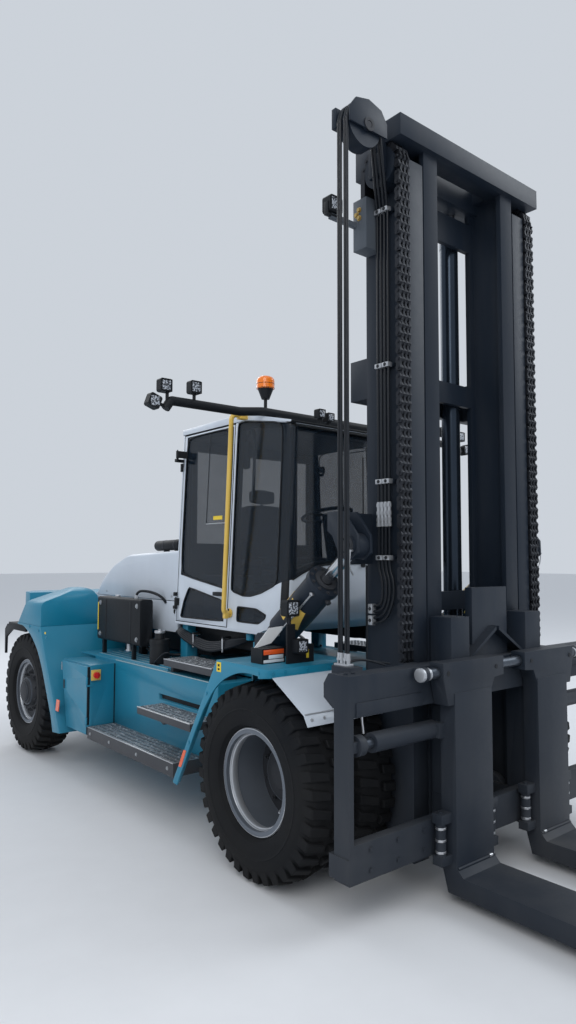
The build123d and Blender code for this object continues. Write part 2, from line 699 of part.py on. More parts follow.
def roof_gear():
    """The lamp bar over the roof with its lamps, the roof lamps and the beacon's foot."""
    y = roof_bar_y
    reach = lamp_arm_x
    lamps = both([lamp_box((1276, y, 2936)), lamp_box((1495, y, 2916)),
                  Pos(1573, y, 2806) * Rot(0, -20, 0) * lamp_box((0, 0, 0))])
    line = [(-reach - 36, y, 2773), (-reach, y, 2827), (-910, y, 2829), (-720, y, 2854),
            (720, y, 2854), (910, y, 2829), (reach, y, 2827), (reach + 36, y, 2773)]
    arm = bent_tube(line, 30, 25)
    saddles = [block((s * 560, s * 620), (y - 25, y + 25), (2800, 2835)) for s in (-1, 1)]
    saddles = [saddle - roof_slab() for saddle in saddles]
    stubs = both([rod((1276, y, 2840), (1276, y, 2900), 11),
                  rod((1475, y, 2800), (1475, y, 2880), 11),
                  rod((reach + 28, y, 2784), (1560, y, 2802), 11)])
    put("lamp_arms", joined(arm, *saddles, *stubs).cut(*lamps))
    for x, z in ((254, 2841), (340, 2858)):
        foot = block((x - 12, x + 12), (408, 432), (2770, z - 32)) - roof_slab()
        lamps += both(joined(lamp_box((x, 420, z), 66, 50), foot))
    dome = eased([(0, 3032), (64, 3032), (64, 3122), (0, 3122)], {2: 34}, 4)
    put("beacon_dome", Pos(-650, 653, 0) * turned(dome))
    foot = turned([(0, 2815), (20, 2815), (20, 2868), (12, 2868), (12, 2959), (28, 2959),
                   (56, 3032), (0, 3032)])
    return lamps + solids_of(Pos(-650, 653, 0) * foot - roof_slab())


def work_lamps():
    top_z = guard_z + 10
    low = block((998, 1168), (0, 110), (top_z, 1303))
    panel = front_prism([(839, top_z), (1045, top_z), (1045, 1445), (985, 1445), (985, 1320),
                         (839, 1320)], (-80, -66))
    upper = joined(rod((1024, -73, 1440), (1024, -73, 1500), 10),
                   lamp_box((1024, -80, 1539), 96, 56))
    lower = lamp_box((970, -106, 1318), 84, 54)
    put("work_lamps", roof_gear(), both([low, joined(panel, upper, lower)]))


def tilt_towers():
    y, z = chassis_pin
    foot_z = guard_z + 10
    line = [(y - 100, foot_z), (y + 60, foot_z), (y + 60, z + 30), (y + 30, z + 70),
            (y - 30, z + 70), (y - 62, z + 20)]
    ears = [side_prism(eased(line, {3: 25, 4: 25}, 3), span) for span in ((776, 794), (926, 956))]
    base = block((776, 956), (y - 100, y + 60), (foot_z, foot_z + 10))
    pin = disc_x((780, 940), y, z, 35)
    put("tilt_towers", both(joined(*ears, base, pin)))


def tilt_cylinder(sign):
    py, pz = chassis_pin
    my, mz = mast_pin
    length = math.hypot(my - py, mz - pz)
    uy, uz = (my - py) / length, (mz - pz) / length
    x = tilt_x

    def along(s):
        return (x, py + uy * s, pz + uz * s)
    barrel = joined(rod(along(90), along(150), 84), rod(along(150), along(610), 100),
                    rod(along(610), along(650), 110), disc_x((x - 62, x + 62), py, pz, 60),
                    rod(along(30), along(95), 56))
    barrel = barrel - rod(along(140), along(700), tilt_rod_r + 0.05)
    barrel = barrel - disc_x((x - 99, x + 99), py, pz, 35.05)
    arm = joined(rod(along(350), along(length - 50), tilt_rod_r),
                 disc_x((x - 38, x + 38), my, mz, 72))
    if sign < 0:
        barrel, arm = mirrored(barrel), mirrored(arm)
    put(offset_side("tilt_barrel", sign), barrel)
    put(offset_side("tilt_rod", sign), arm)


def mast_outer():
    z0, z1 = mast_foot_z, outer_top_z
    web = block((outer_out - 30, outer_out), (mast_front, outer_rear), (z0, z1))
    fr = block((outer_in, outer_out), (mast_front, mast_front + 35), (z0, z1))
    re = block((outer_in, outer_out), (outer_rear - 35, outer_rear), (z0, z1))
    tie_side = block((outer_in, outer_out), (-326, -150), (2809, 3061))
    y, z = tilt_pivot
    foot_line = [(-300, 200), (-230, 262), (-150, 300), (-142, 350), (-160, 410), (-230, 438),
                 (-300, 520)]
    foot = side_prism(foot_line, (470, 588)) - disc_x((460, 600), y, z, 40.05)
    back = block((outer_out - 1, 735), (-330, outer_rear), (1800, 2098))
    back_high = block((734, 920), (-330, outer_rear), (1990, 2098))
    py, pz = mast_pin
    ear_line = [(-290, 1990), (-290, 2098), (-420, 2098), (py - 75, 1960), (py - 78, pz - 40),
                (py - 20, pz - 80), (py + 60, pz - 70), (-330, 1960)]
    ears = [side_prism(ear_line, span) for span in ((799, 817), (903, 920))]
    boss = disc_x((919, 934), py, pz, 62)
    anchor = block((outer_out - 1, 712), (-410, -300), (3694, 4006))
    lamp_arm = block((710, 920), (-330, -300), (3840, 3870))
    side = joined(web, fr, re, tie_side, foot, back, back_high, *ears, boss, anchor)
    tie = block((-outer_in - 1, outer_in + 1), (-210, -150), (2809, 3061))
    sole = block((-outer_in - 5, outer_in + 5), (-440, -210), (z0, z0 + 50))
    put("mast_outer", joined(side, mirrored(joined(side, lamp_arm)), tie, sole))
    lamp = lamp_box((-900, -315, 3920), 100, 70)
    put("mast_lamp", lamp)
    barrels = []
    for s in (-1, 1):
        x = s * lift_x
        tube = rod((x, lift_y, z0 + 50), (x, lift_y, 4080), lift_barrel_r)
        head = rod((x, lift_y, 3980), (x, lift_y, 4080), lift_barrel_r + 2)
        clamp = block((x - 40, x + 40), (lift_y + 50, -210), (2850, 2980))
        bore = rod((x, lift_y, z0 + 90), (x, lift_y, 4090), lift_rod_r + 0.05)
        barrels.append(joined(tube, head, clamp) - bore)
    put("lift_barrels", barrels)


def mast_inner():
    z0, z1 = mast_foot_z + 55, 4300
    uprights = []
    for s in (-1, 1):
        uprights.append(block((s * 380, s * 407), (mast_front, inner_rear), (z0, z1)))
        for y0, y1 in ((mast_front, mast_front + 35), (inner_rear - 35, inner_rear)):
            uprights.append(block((s * inner_in, s * inner_out), (y0, y1), (z0, z1)))
    beam = block((-707, 707), (-682, -522), beam_z)
    rear_box = block((-outer_out, outer_out), (-420, -201), (4217, 4404))
    sides = [block((s * 330, s * 457), (-530, -415), (4280, 4400)) for s in (-1, 1)]
    ties = [block((-inner_in - 1, inner_in + 1), (inner_rear - 35, inner_rear), (z, z + h))
            for z, h in ((260, 160), (1500, 120), (2860, 140), (3950, 200))]
    cheek = joined(block((693, 720), (-560, -440), (4090, 4401)),
                   block((590, 720), (-530, -440), (4375, 4401)),
                   block((560, 592), (-530, -400), (4375, 4401)))
    arm = joined(block((700, 1096), (-552, -520), (4215, 4330)),
                 block((700, 720), (-560, -520), (4150, 4340)))
    plate = front_prism([(804, 4207), (804, 4290), (850, 4354), (950, 4380), (1050, 4354),
                         (1096, 4290), (1096, 4207)], (-668, -656))
    link = rod((965, -660, 4235), (965, -530, 4235), 30)
    right = mirrored(joined(arm, plate, link))
    put("mast_inner", joined(*uprights, beam, rear_box, *sides, *ties, cheek, mirrored(cheek),
                             right))
    rods = [rod((s * lift_x, lift_y, 1300), (s * lift_x, lift_y, 4217), lift_rod_r)
            for s in (-1, 1)]
    put("lift_rods", rods)
    y, z = pulley_yz
    pulley = disc_x((chain_x - 50, chain_x + 43), y, z, pulley_r)
    sheave = rod((-965, -648, 4235), (-965, -556, 4235), 122) - rod((-965, -700, 4235),
                                                                    (-965, -500, 4235), 30.05)
    put("mast_pulleys", both(pulley), sheave)


def strand(x, y, z0, z1, w=96, t=34):
    return block((x - w / 2, x + w / 2), (y - t / 2, y + t / 2), (z0, z1))


def chains_and_hoses():
    y, z = pulley_yz
    front_y = y - pulley_r - 17
    rear_y = y + pulley_r + 17
    put("carriage_chains", both(strand(chain_x - 4, front_y, carriage_top, z)))
    put("anchor_chains", both(strand(chain_x - 4, rear_y, 4006, z)))
    hoses = [rod((-1095, hy, 1306), (-1095, hy, 4235), 8) for hy in (-640, -622, -590, -572)]
    put("carriage_hoses", hoses)
    fixed, tail = [], []
    for i, hy in enumerate((-640, -622, -590, -572)):
        y0 = -510 + 28 * i
        fixed.append(rod((-634, y0, 1500), (-634, y0, 3904), 8))
        tail.append(rod((-634, y0, 3912), (-836.1, hy, 4235), 8))
    put("mast_hose_tails", tail)
    clamps = [block((-646, -outer_out), (-528, -414), (z0, z0 + 34))
              for z0 in (1500, 1606, 1830, 2210, 2960, 3870)]
    put("mast_hoses", joined(*fixed, *clamps))


def carriage():
    y0, y1 = carriage_y
    half, top = carriage_half, carriage_top
    upper = block((-half, half), (y0, y0 + 60), (1050, top))
    shelf = block((-half, half), (y0, y1), (top - 50, top))
    lower = block((-half, half), (y0, y0 + 60), (255, 440))
    posts = [block((s * (half - 30), s * half), (y0, y1), (255, top)) for s in (-1, 1)]
    corner = side_prism([(y0, 1085), (y0, top), (-650, top), (-614, 1200), (-614, 1130),
                         (-680, 1085)], (half - 30, half))
    foot = block((half - 40, half + 8), (y0, -661), (267, 380))
    columns = [block((s * 285, s * 450), (y0, -652), (200, 1500)) for s in (-1, 1)]
    rollers = []
    for s in (-1, 1):
        for z in (340, 1370):
            rollers.append(block((s * 285, s * 322), (-660, -470), (z - 60, z + 60)))
            rollers.append(disc_x((s * 320, s * 374), -495, z, 106))
    plate = side_prism([(-740, 1240), (-690, 1240), (-690, 1660), (-740, 1660)], (-175, 175))
    chain_feet = [block((s * 600, s * 692), (-700, -620), (top - 50, top)) for s in (-1, 1)]
    hose_foot = block((-1140, -1050), (-700, -560), (top - 30, top + 20))
    fittings = [rod((-1095, hy, top + 10), (-1095, hy, 1306), 11)
                for hy in (-631, -581)]
    shaft_y, shaft_z = fork_shaft_yz
    lugs = []
    for s in (-1, 1):
        lugs.append(disc_x((s * 742, s * 772), shaft_y, shaft_z, 38))
        lugs.append(block((s * 742, s * 772), (shaft_y, y0 + 20), (shaft_z - 38, shaft_z + 31)))
    body = joined(upper, shelf, lower, *posts, *both(corner), *both(foot), *columns, *rollers,
                  plate, *chain_feet, hose_foot, *fittings, *lugs)
    body = body - disc_x((-800, 800), shaft_y, shaft_z, fork_shaft_r)
    put("carriage_frame", body)
    rods = [disc_x((s * 680, s * (half - 30)), -772, 905, 25) for s in (-1, 1)]
    put("carriage_bars", disc_x((-790, 790), shaft_y, shaft_z, fork_shaft_r), rods)


def fork(sign):
    x0, x1 = fork_x - fork_w / 2, fork_x + fork_w / 2
    face = fork_face_y
    rear = face + fork_thick
    line = [(face, 60 + fork_thick + 40), (face, 1110), (rear, 1110), (rear, 200),
            (rear - 40, 60), (fork_tip_y, 60), (fork_tip_y, 78), (fork_tip_y + 900, 60 + fork_thick),
            (face - 40, 60 + fork_thick)]
    body = side_prism(line, (x0, x1))
    hook = front_prism([(110, 1275), (110, 1170), (200, 1163), (x0, 1090), (x0 + 10, 1050),
                        (x1 + 50, 1050), (x1 + 88, 1200), (x1 + 88, 1275)], (face + 5, rear))
    shaft_y, shaft_z = fork_shaft_yz
    hook = hook - disc_x((0, 900), shaft_y, shaft_z, fork_shaft_r + 1)
    rollers = []
    for inner, outer in ((x1 - 1, x1 + 84), (x0 + 1, x0 - 84)):
        middle = inner + (outer - inner) * 0.66
        rollers += [block((inner, outer), (-880, -815), (430, 482)),
                    block((inner, outer), (-880, -815), (217, 265)),
                    rod((middle, -848, 260), (middle, -848, 435), 28)]
    tube = disc_x((x1 + 25, 1070), -772, 905, 50) - disc_x((x1 + 48, 1100), -772, 905, 25.05)
    clevis = block((x1 - 1, x1 + 40), (-835, -735), (865, 945))
    shape = joined(body, hook, *rollers, tube, clevis)
    put(offset_side("fork", sign), shape if sign > 0 else mirrored(shape))


def build():
    drive_axle()
    steer_axle()
    for sign in (-1, 1):
        drive_wheel(sign)
        steer_wheel(sign)
        knuckle(sign)
        cab_door(sign)
        tilt_cylinder(sign)
        fork(sign)
    chassis_frame()
    side_tanks()
    steps()
    side_boxes()
    rear_fenders()
    counterweight()
    front_guards()
    engine()
    hood()
    air_box()
    cab_shell()
    cab_roof()
    cab_inside()
    handrails()
    work_lamps()
    tilt_towers()
    mast_outer()
    mast_inner()
    chains_and_hoses()
    carriage()


def export():
    os.makedirs("parts", exist_ok=True)
    shift = Pos(0, -mid_y, 0)
    for name, solids in nodes.items():
        moved = [shift * s for s in solids]
        shape = moved[0] if len(moved) == 1 else Compound(children=moved)
        shape.label = name
        export_step(shape, f"parts/{name}.step")


build()
export()
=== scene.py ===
import json
import math
import bpy
from mathutils import Matrix, Vector

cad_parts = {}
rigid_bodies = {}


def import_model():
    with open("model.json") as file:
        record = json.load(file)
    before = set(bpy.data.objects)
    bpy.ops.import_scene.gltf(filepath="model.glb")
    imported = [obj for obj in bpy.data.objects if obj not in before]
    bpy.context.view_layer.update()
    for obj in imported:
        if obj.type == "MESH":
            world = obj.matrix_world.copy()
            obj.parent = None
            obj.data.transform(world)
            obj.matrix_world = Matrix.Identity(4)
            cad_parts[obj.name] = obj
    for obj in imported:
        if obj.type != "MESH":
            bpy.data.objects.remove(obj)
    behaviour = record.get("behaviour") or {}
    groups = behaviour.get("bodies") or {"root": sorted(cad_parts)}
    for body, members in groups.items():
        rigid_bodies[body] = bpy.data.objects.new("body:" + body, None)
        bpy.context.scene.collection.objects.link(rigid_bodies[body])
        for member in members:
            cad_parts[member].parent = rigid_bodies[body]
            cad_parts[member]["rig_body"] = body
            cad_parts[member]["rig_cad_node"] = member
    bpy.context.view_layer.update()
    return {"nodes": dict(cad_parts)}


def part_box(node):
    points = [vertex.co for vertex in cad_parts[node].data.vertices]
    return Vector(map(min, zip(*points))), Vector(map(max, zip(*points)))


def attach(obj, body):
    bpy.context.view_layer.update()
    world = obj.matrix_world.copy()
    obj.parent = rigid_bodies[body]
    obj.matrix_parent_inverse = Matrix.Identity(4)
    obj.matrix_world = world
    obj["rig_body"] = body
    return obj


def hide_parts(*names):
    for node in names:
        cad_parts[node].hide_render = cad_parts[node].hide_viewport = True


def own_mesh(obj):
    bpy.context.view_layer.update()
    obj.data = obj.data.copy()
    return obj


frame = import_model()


def middle(node):
    low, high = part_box(node)
    return (low + high) / 2


axleY = middle("drive_tyres_right").y


# Places are in millimetres from the drive axle's middle on the ground, forks towards -Y
def at(x, y, z):
    return Vector((x / 1000, axleY + y / 1000, z / 1000))


# Camera and lights, matched to the photograph
cameraView = {
    "place": (-3737.4, -3359.6, 1830.5),
    "heading": -39.41,
    "pitch": 3.686,
    "roll": 0.15,
    "lens": 25.32,
    "longSide": 36.0,
}
studio = {
    "floorColour": (0.74, 0.75, 0.77, 1),
    "skyColour": (0.86, 0.92, 1.0, 1),
    "skyStrength": 0.70,
    "aimHeight": 1.5,
    "lamps": [
        # (place, size, watts, colour)
        ((-9, -7, 9), 7, 480, (1.0, 0.98, 0.95)),
        ((9, -6, 10), 8, 560, (0.92, 0.96, 1.0)),
        ((0, 10, 9), 8, 380, (1.0, 1.0, 1.0)),
    ],
}


def makeCamera():
    data = bpy.data.cameras.new("photoCamera")
    data.lens = cameraView["lens"]
    data.sensor_width = cameraView["longSide"]
    data.clip_start = 0.05
    data.clip_end = 200
    camera = bpy.data.objects.new("photoCamera", data)
    bpy.context.scene.collection.objects.link(camera)
    yaw, pitch, roll = (math.radians(cameraView[k]) for k in ("heading", "pitch", "roll"))
    forward = Vector((-math.sin(yaw) * math.cos(pitch),
                      math.cos(yaw) * math.cos(pitch), math.sin(pitch)))
    level = Vector((math.cos(yaw), math.sin(yaw), 0))
    upright = level.cross(forward)
    right = math.cos(roll) * level + math.sin(roll) * upright
    up = math.cos(roll) * upright - math.sin(roll) * level
    turn = Matrix((right, up, -forward)).transposed()
    camera.matrix_world = Matrix.Translation(at(*cameraView["place"])) @ turn.to_4x4()
    bpy.context.scene.camera = camera


def makeStudio():
    bpy.context.scene.view_settings.view_transform = "Standard"
    world = bpy.data.worlds.new("softSky")
    world.use_nodes = True
    sky = world.node_tree.nodes["Background"]
    sky.inputs["Color"].default_value = studio["skyColour"]
    sky.inputs["Strength"].default_value = studio["skyStrength"]
    bpy.context.scene.world = world
    for place, size, watts, colour in studio["lamps"]:
        lamp = bpy.data.lights.new("softLamp", "AREA")
        lamp.size = size
        lamp.energy = watts
        lamp.color = colour
        holder = bpy.data.objects.new("softLamp", lamp)
        bpy.context.scene.collection.objects.link(holder)
        holder.location = place
        aim = Vector((0, 0, studio["aimHeight"])) - holder.location
        holder.rotation_euler = aim.to_track_quat("-Z", "Y").to_euler()


# Shader maths: a wrapped socket reads as arithmetic
class Signal:
    def __init__(self, finish, socket):
        self.finish = finish
        self.socket = socket

    def maths(self, operation, first, second):
        return self.finish.node("ShaderNodeMath", {"operation": operation}, {0: first, 1: second})

    def __add__(self, other):
        return self.maths("ADD", self, other)

    def __radd__(self, other):
        return self.maths("ADD", other, self)

    def __sub__(self, other):
        return self.maths("SUBTRACT", self, other)

    def __rsub__(self, other):
        return self.maths("SUBTRACT", other, self)

    def __mul__(self, other):
        return self.maths("MULTIPLY", self, other)

    def __rmul__(self, other):
        return self.maths("MULTIPLY", other, self)

    def above(self, level, soft=0.02):
        settings = {"clamp": True}
        values = {0: self, 1: level - soft, 2: level + soft, 3: 0.0, 4: 1.0}
        return self.finish.node("ShaderNodeMapRange", settings, values)

    def below(self, level, soft=0.02):
        return 1 - self.above(level, soft)


class Finish:
    def __init__(self, name, **shader):
        self.material = bpy.data.materials.new(name)
        self.material.use_nodes = True
        self.tree = self.material.node_tree
        self.shader = self.tree.nodes["Principled BSDF"]
        for socket, value in shader.items():
            self.shader.inputs[socket.replace("_", " ")].default_value = value

    def node(self, kind, settings=None, inputs=None, output=0):
        made = self.tree.nodes.new(kind)
        for key, value in (settings or {}).items():
            setattr(made, key, value)
        for key, value in (inputs or {}).items():
            if isinstance(value, Signal):
                self.tree.links.new(value.socket, made.inputs[key])
            else:
                made.inputs[key].default_value = value
        return Signal(self, made.outputs[output])

    def feed(self, socket, signal):
        self.tree.links.new(signal.socket, self.shader.inputs[socket])

    def objectPlace(self):
        return self.node("ShaderNodeTexCoord", output=3)

    def axis(self, vector, number):
        return self.node("ShaderNodeSeparateXYZ", inputs={0: vector}, output=number)

    def place(self, stretch=(1, 1, 1)):
        return self.node("ShaderNodeMapping", inputs={"Vector": self.objectPlace(), "Scale": stretch})

    def noise(self, scale, detail=4.0, stretch=(1, 1, 1), rough=0.55):
        values = {"Vector": self.place(stretch), "Scale": scale, "Detail": detail, "Roughness": rough}
        return self.node("ShaderNodeTexNoise", inputs=values)

    def cells(self, scale):
        values = {"Vector": self.objectPlace(), "Scale": scale}
        return self.node("ShaderNodeTexVoronoi", {"feature": "F1"}, values)

    def height(self):
        return self.axis(self.objectPlace(), 2)

    def upward(self):
        return self.axis(self.node("ShaderNodeNewGeometry", output=1), 2)

    def mix(self, share, first, second):
        values = {0: share, 6: first, 7: second}
        return self.node("ShaderNodeMix", {"data_type": "RGBA"}, values, output=2)

    def bump(self, signal, strength, distance):
        values = {"Height": signal, "Strength": strength, "Distance": distance}
        self.feed("Normal", self.node("ShaderNodeBump", inputs=values))


def shade(colour, factor):
    return tuple(c * factor for c in colour[:3]) + (1,)


# Colours of the finishes, linear
colours = {
    "teal": (0.004, 0.215, 0.350, 1),
    "greyWhite": (0.60, 0.66, 0.74, 1),
    "charcoal": (0.011, 0.018, 0.030, 1),
    "black": (0.007, 0.009, 0.012, 1),
    "tyre": (0.0040, 0.0052, 0.0075, 1),
    "silver": (0.47, 0.49, 0.52, 1),
    "galvanised": (0.40, 0.42, 0.44, 1),
    "yellow": (0.78, 0.52, 0.10, 1),
    "amber": (0.95, 0.22, 0.01, 1),
    "dust": (0.27, 0.25, 0.22, 1),
    "rust": (0.16, 0.07, 0.03, 1),
    "white": (0.78, 0.80, 0.82, 1),
    # painted shade: the steps' sides and undersides are drawn darker than their galvanised tops
    "stepSide": (0.075, 0.078, 0.086, 1),
}


# Wear of painted plate: noise scales, tones, the dust's top in metres and its shares
paintWear = {
    "patches": 1.3, "grain": 34, "streaks": 6, "chips": 14,
    "darker": 0.90, "lighter": 1.06,
    "dustTop": 0.85, "dustFade": 0.7,
    "low": 0.55, "level": 0.35, "streak": 0.35,
}


def paint(name, colour, roughness=0.38, dustiness=0.35, chips=0.0, coat=0.25, glint=0.4):
    finish = Finish(name, Coat_Roughness=0.12, Coat_Weight=coat, Specular_IOR_Level=glint)
    broad = finish.noise(paintWear["patches"], 5)
    fine = finish.noise(paintWear["grain"], 3)
    streak = finish.noise(paintWear["streaks"], 4, (1, 1, 0.15))
    darker, lighter = (shade(colour, paintWear[k]) for k in ("darker", "lighter"))
    tone = finish.mix(broad.above(0.5, 0.25), darker, lighter)
    low = finish.height().below(paintWear["dustTop"], paintWear["dustFade"])
    level = finish.upward().above(0.75, 0.2)
    lying = low * paintWear["low"] + level * paintWear["level"]
    lying = lying + streak.above(0.60, 0.18) * paintWear["streak"]
    dust = lying * broad.above(0.42, 0.2) * dustiness
    tone = finish.mix(dust, tone, colours["dust"])
    if chips:
        worn = finish.noise(paintWear["chips"], 8, rough=0.7).above(1 - chips, 0.015)
        tone = finish.mix(worn, tone, shade(colours["rust"], 0.8))
    finish.feed("Base Color", tone)
    finish.feed("Roughness", fine * 0.10 + dust * 0.5 + (roughness - 0.05))
    finish.bump(fine, 0.05, 0.002)
    return finish.material


def plain(name, colour, roughness, metallic=0.0, grain=40, bumpiness=0.1, variety=0.15, **shader):
    finish = Finish(name, Metallic=metallic, Specular_IOR_Level=0.3, **shader)
    broad = finish.noise(3, 5)
    fine = finish.noise(grain, 4)
    darker, lighter = shade(colour, 1 - variety), shade(colour, 1 + variety)
    finish.feed("Base Color", finish.mix(broad, darker, lighter))
    finish.feed("Roughness", fine * 0.16 + (roughness - 0.08))
    finish.bump(fine, bumpiness, 0.002)
    return finish.material


def tyreRubber():
    finish = Finish("tyreRubber", Specular_IOR_Level=0.15)
    broad = finish.noise(2.2, 6)
    fine = finish.noise(70, 4)
    dusty = broad.above(0.5, 0.2) * 0.5 + finish.height().below(0.25, 0.3) * 0.35
    tone = finish.mix(dusty * 0.4, colours["tyre"], shade(colours["dust"], 0.2))
    finish.feed("Base Color", tone)
    finish.feed("Roughness", dusty * 0.25 + fine * 0.12 + 0.55)
    finish.bump(fine, 0.22, 0.003)
    return finish.material


def meshLens():
    finish = Finish("ribbedLens", Roughness=0.18, Coat_Weight=0.6)
    cells = finish.cells(95)
    tone = finish.mix(cells.above(0.50, 0.10), (0.50, 0.54, 0.60, 1), (0.04, 0.045, 0.055, 1))
    finish.feed("Base Color", tone)
    finish.bump(cells, 0.5, 0.004)
    return finish.material


def checkerPlate():
    finish = Finish("treadedSteel", Roughness=0.4, Metallic=0.7)
    worn = finish.cells(34).below(0.34, 0.14)
    dull = finish.mix(finish.noise(4, 5), (0.16, 0.17, 0.19, 1), (0.30, 0.32, 0.34, 1))
    finish.feed("Base Color", finish.mix(worn, dull, (0.66, 0.69, 0.73, 1)))
    finish.bump(worn, 0.7, 0.004)
    return finish.material


def glass(name, colour, alpha):
    finish = Finish(name, Base_Color=colour, Roughness=0.05, IOR=1.5, Specular_IOR_Level=0.6)
    smear = finish.noise(2.5, 4)
    finish.feed("Alpha", smear * 0.10 + (alpha - 0.05))
    return finish.material


def warningStripes():
    finish = Finish("yellowBlackStripes", Roughness=0.45)
    slope = finish.axis(finish.objectPlace(), 1) + finish.height()
    band = finish.node("ShaderNodeMath", {"operation": "FRACT"}, {0: slope * 9})
    finish.feed("Base Color", finish.mix(band.above(0.5), colours["yellow"], colours["black"]))
    return finish.material


def makeFinishes():
    lensGlow = dict(Coat_Weight=0.8)
    return {
        "teal": paint("tealPaint", colours["teal"], 0.38, 0.22, 0.13, 0.15),
        "greyWhite": paint("greyWhitePaint", colours["greyWhite"], 0.32, 0.22, 0.08, 0.35),
        "charcoal": paint("charcoalPaint", colours["charcoal"], 0.48, 0.16, 0.16, 0.0, 0.25),
        "black": plain("blackTrim", colours["black"], 0.55),
        "tyre": tyreRubber(),
        "silver": plain("silverPaint", colours["silver"], 0.34, 0.55),
        "galvanised": plain("galvanisedPlate", colours["galvanised"], 0.42, 0.75, 18, 0.1, 0.3),
        "chrome": plain("hardChrome", (0.62, 0.63, 0.65), 0.16, 1.0, 60, 0.02, 0.05),
        "yellow": paint("yellowPaint", colours["yellow"], 0.36, 0.3, 0.08, 0.3),
        "glass": glass("tintedGlass", (0.012, 0.022, 0.036, 1), 0.42),
        "amber": plain("amberLens", colours["amber"], 0.2, 0.0, 30, 0.02, 0.1, **lensGlow),
        "red": plain("redKnob", (0.55, 0.02, 0.02), 0.3),
        "lens": meshLens(),
        "tread": checkerPlate(),
        # painted shade for the steps' sides and undersides
        "stepSide": plain("paintedShadeStepSide", colours["stepSide"], 0.55, 0.3, 30, 0.15, 0.3),
        "orange": plain("orangeReflector", (0.85, 0.11, 0.02), 0.25, 0.0, 90, 0.3, 0.1, **lensGlow),
        "whiteLens": plain("whiteLens", (0.72, 0.75, 0.78), 0.2, 0.0, 60, 0.2, 0.1, **lensGlow),
        # painted highlight: lighter teal for edges that catch the light
        "edge": plain("paintedEdgeHighlight", (0.36, 0.47, 0.50), 0.4, 0.2),
        "barrel": plain("rimBarrel", (0.15, 0.17, 0.20), 0.4, 0.4),
        "gloss": plain("glossyCylinder", (0.030, 0.042, 0.060), 0.20, 0.7, 30, 0.02, 0.2),
        "dusty": paint("dustyGreyPaint", (0.085, 0.100, 0.120), 0.5, 0.3, 0.16, 0.0, 0.25),
        "worn": plain("wornCylinder", (0.060, 0.072, 0.090), 0.30, 0.6, 14, 0.2, 0.9),
        "seat": plain("seatCloth", (0.035, 0.036, 0.042), 0.85, 0.0, 220, 0.5, 0.2),
        "hose": plain("hoseRubber", (0.008, 0.011, 0.016), 0.38, 0.0, 120, 0.3, 0.2),
        "iron": plain("darkCasting", (0.045, 0.048, 0.055), 0.62, 0.35, 60, 0.4, 0.3),
        "chain": plain("greasedChain", (0.026, 0.029, 0.036), 0.45, 0.6, 25, 0.3, 0.6),
        "steel": plain("bareSteel", (0.52, 0.53, 0.55), 0.3, 0.9, 30, 0.1, 0.15),
        "stripes": warningStripes(),
        "label": plain("blankLabel", colours["white"], 0.5),
        "yellowLabel": plain("blankYellowLabel", (0.85, 0.62, 0.05), 0.5),
        "brass": plain("yellowZinc", (0.50, 0.36, 0.14), 0.35, 0.8),
    }


# The record's slot of each finish
slotOf = {
    "teal": "teal", "greyWhite": "grey_white", "charcoal": "charcoal", "black": "black_trim",
    "tyre": "tyre", "silver": "silver", "galvanised": "galvanised", "chrome": "chrome",
    "yellow": "yellow", "glass": "glass", "amber": "amber", "seat": "seat", "hose": "hose",
    "iron": "iron", "chain": "chain",
}


# Small modelling helpers
def clearSelection():
    if bpy.context.mode != "OBJECT":
        bpy.ops.object.mode_set(mode="OBJECT")
    bpy.ops.object.select_all(action="DESELECT")


def select(*things):
    clearSelection()
    for thing in things:
        thing.select_set(True)
    bpy.context.view_layer.objects.active = things[0]


def settle(thing):
    select(thing)
    bpy.ops.object.transform_apply(location=True, rotation=True, scale=True)
    return thing


def cube(low, high, rounding=0.0, steps=2):
    low, high = Vector(low), Vector(high)
    clearSelection()
    bpy.ops.mesh.primitive_cube_add(size=1, location=(low + high) / 2)
    made = bpy.context.object
    made.scale = [abs(high[i] - low[i]) for i in range(3)]
    settle(made)
    if rounding:
        bevel(made, rounding, steps)
    return made


def bevel(thing, width, steps=2, angle=30):
    select(thing)
    cut = thing.modifiers.new("edges", "BEVEL")
    cut.width = width
    cut.segments = steps
    cut.limit_method = "ANGLE"
    cut.angle_limit = math.radians(angle)
    cut.use_clamp_overlap = True
    bpy.ops.object.modifier_apply(modifier="edges")
    return thing


def fromPoints(name, verts, faces, edges=()):
    mesh = bpy.data.meshes.new(name)
    mesh.from_pydata(verts, list(edges), faces)
    made = bpy.data.objects.new(name, mesh)
    bpy.context.scene.collection.objects.link(made)
    return made


def edited(thing, *steps):
    # each step runs in edit mode with all of the piece selected
    select(thing)
    bpy.ops.object.mode_set(mode="EDIT")
    for step, values in steps:
        bpy.ops.mesh.select_all(action="SELECT")
        step(**values)
    bpy.ops.object.mode_set(mode="OBJECT")
    return thing


outward = (bpy.ops.mesh.normals_make_consistent, {"inside": False})


def laidAlong(made, start, end):
    made.rotation_mode = "QUATERNION"
    made.rotation_quaternion = Vector((0, 0, 1)).rotation_difference(end - start)
    made.location = (start + end) / 2
    return settle(made)


def rod(start, end, radius, sides=24, rounding=0.0):
    start, end = Vector(start), Vector(end)
    clearSelection()
    length = (end - start).length
    bpy.ops.mesh.primitive_cylinder_add(vertices=sides, radius=radius, depth=length)
    made = laidAlong(bpy.context.object, start, end)
    if rounding:
        bevel(made, rounding, 2, 60)
    return made


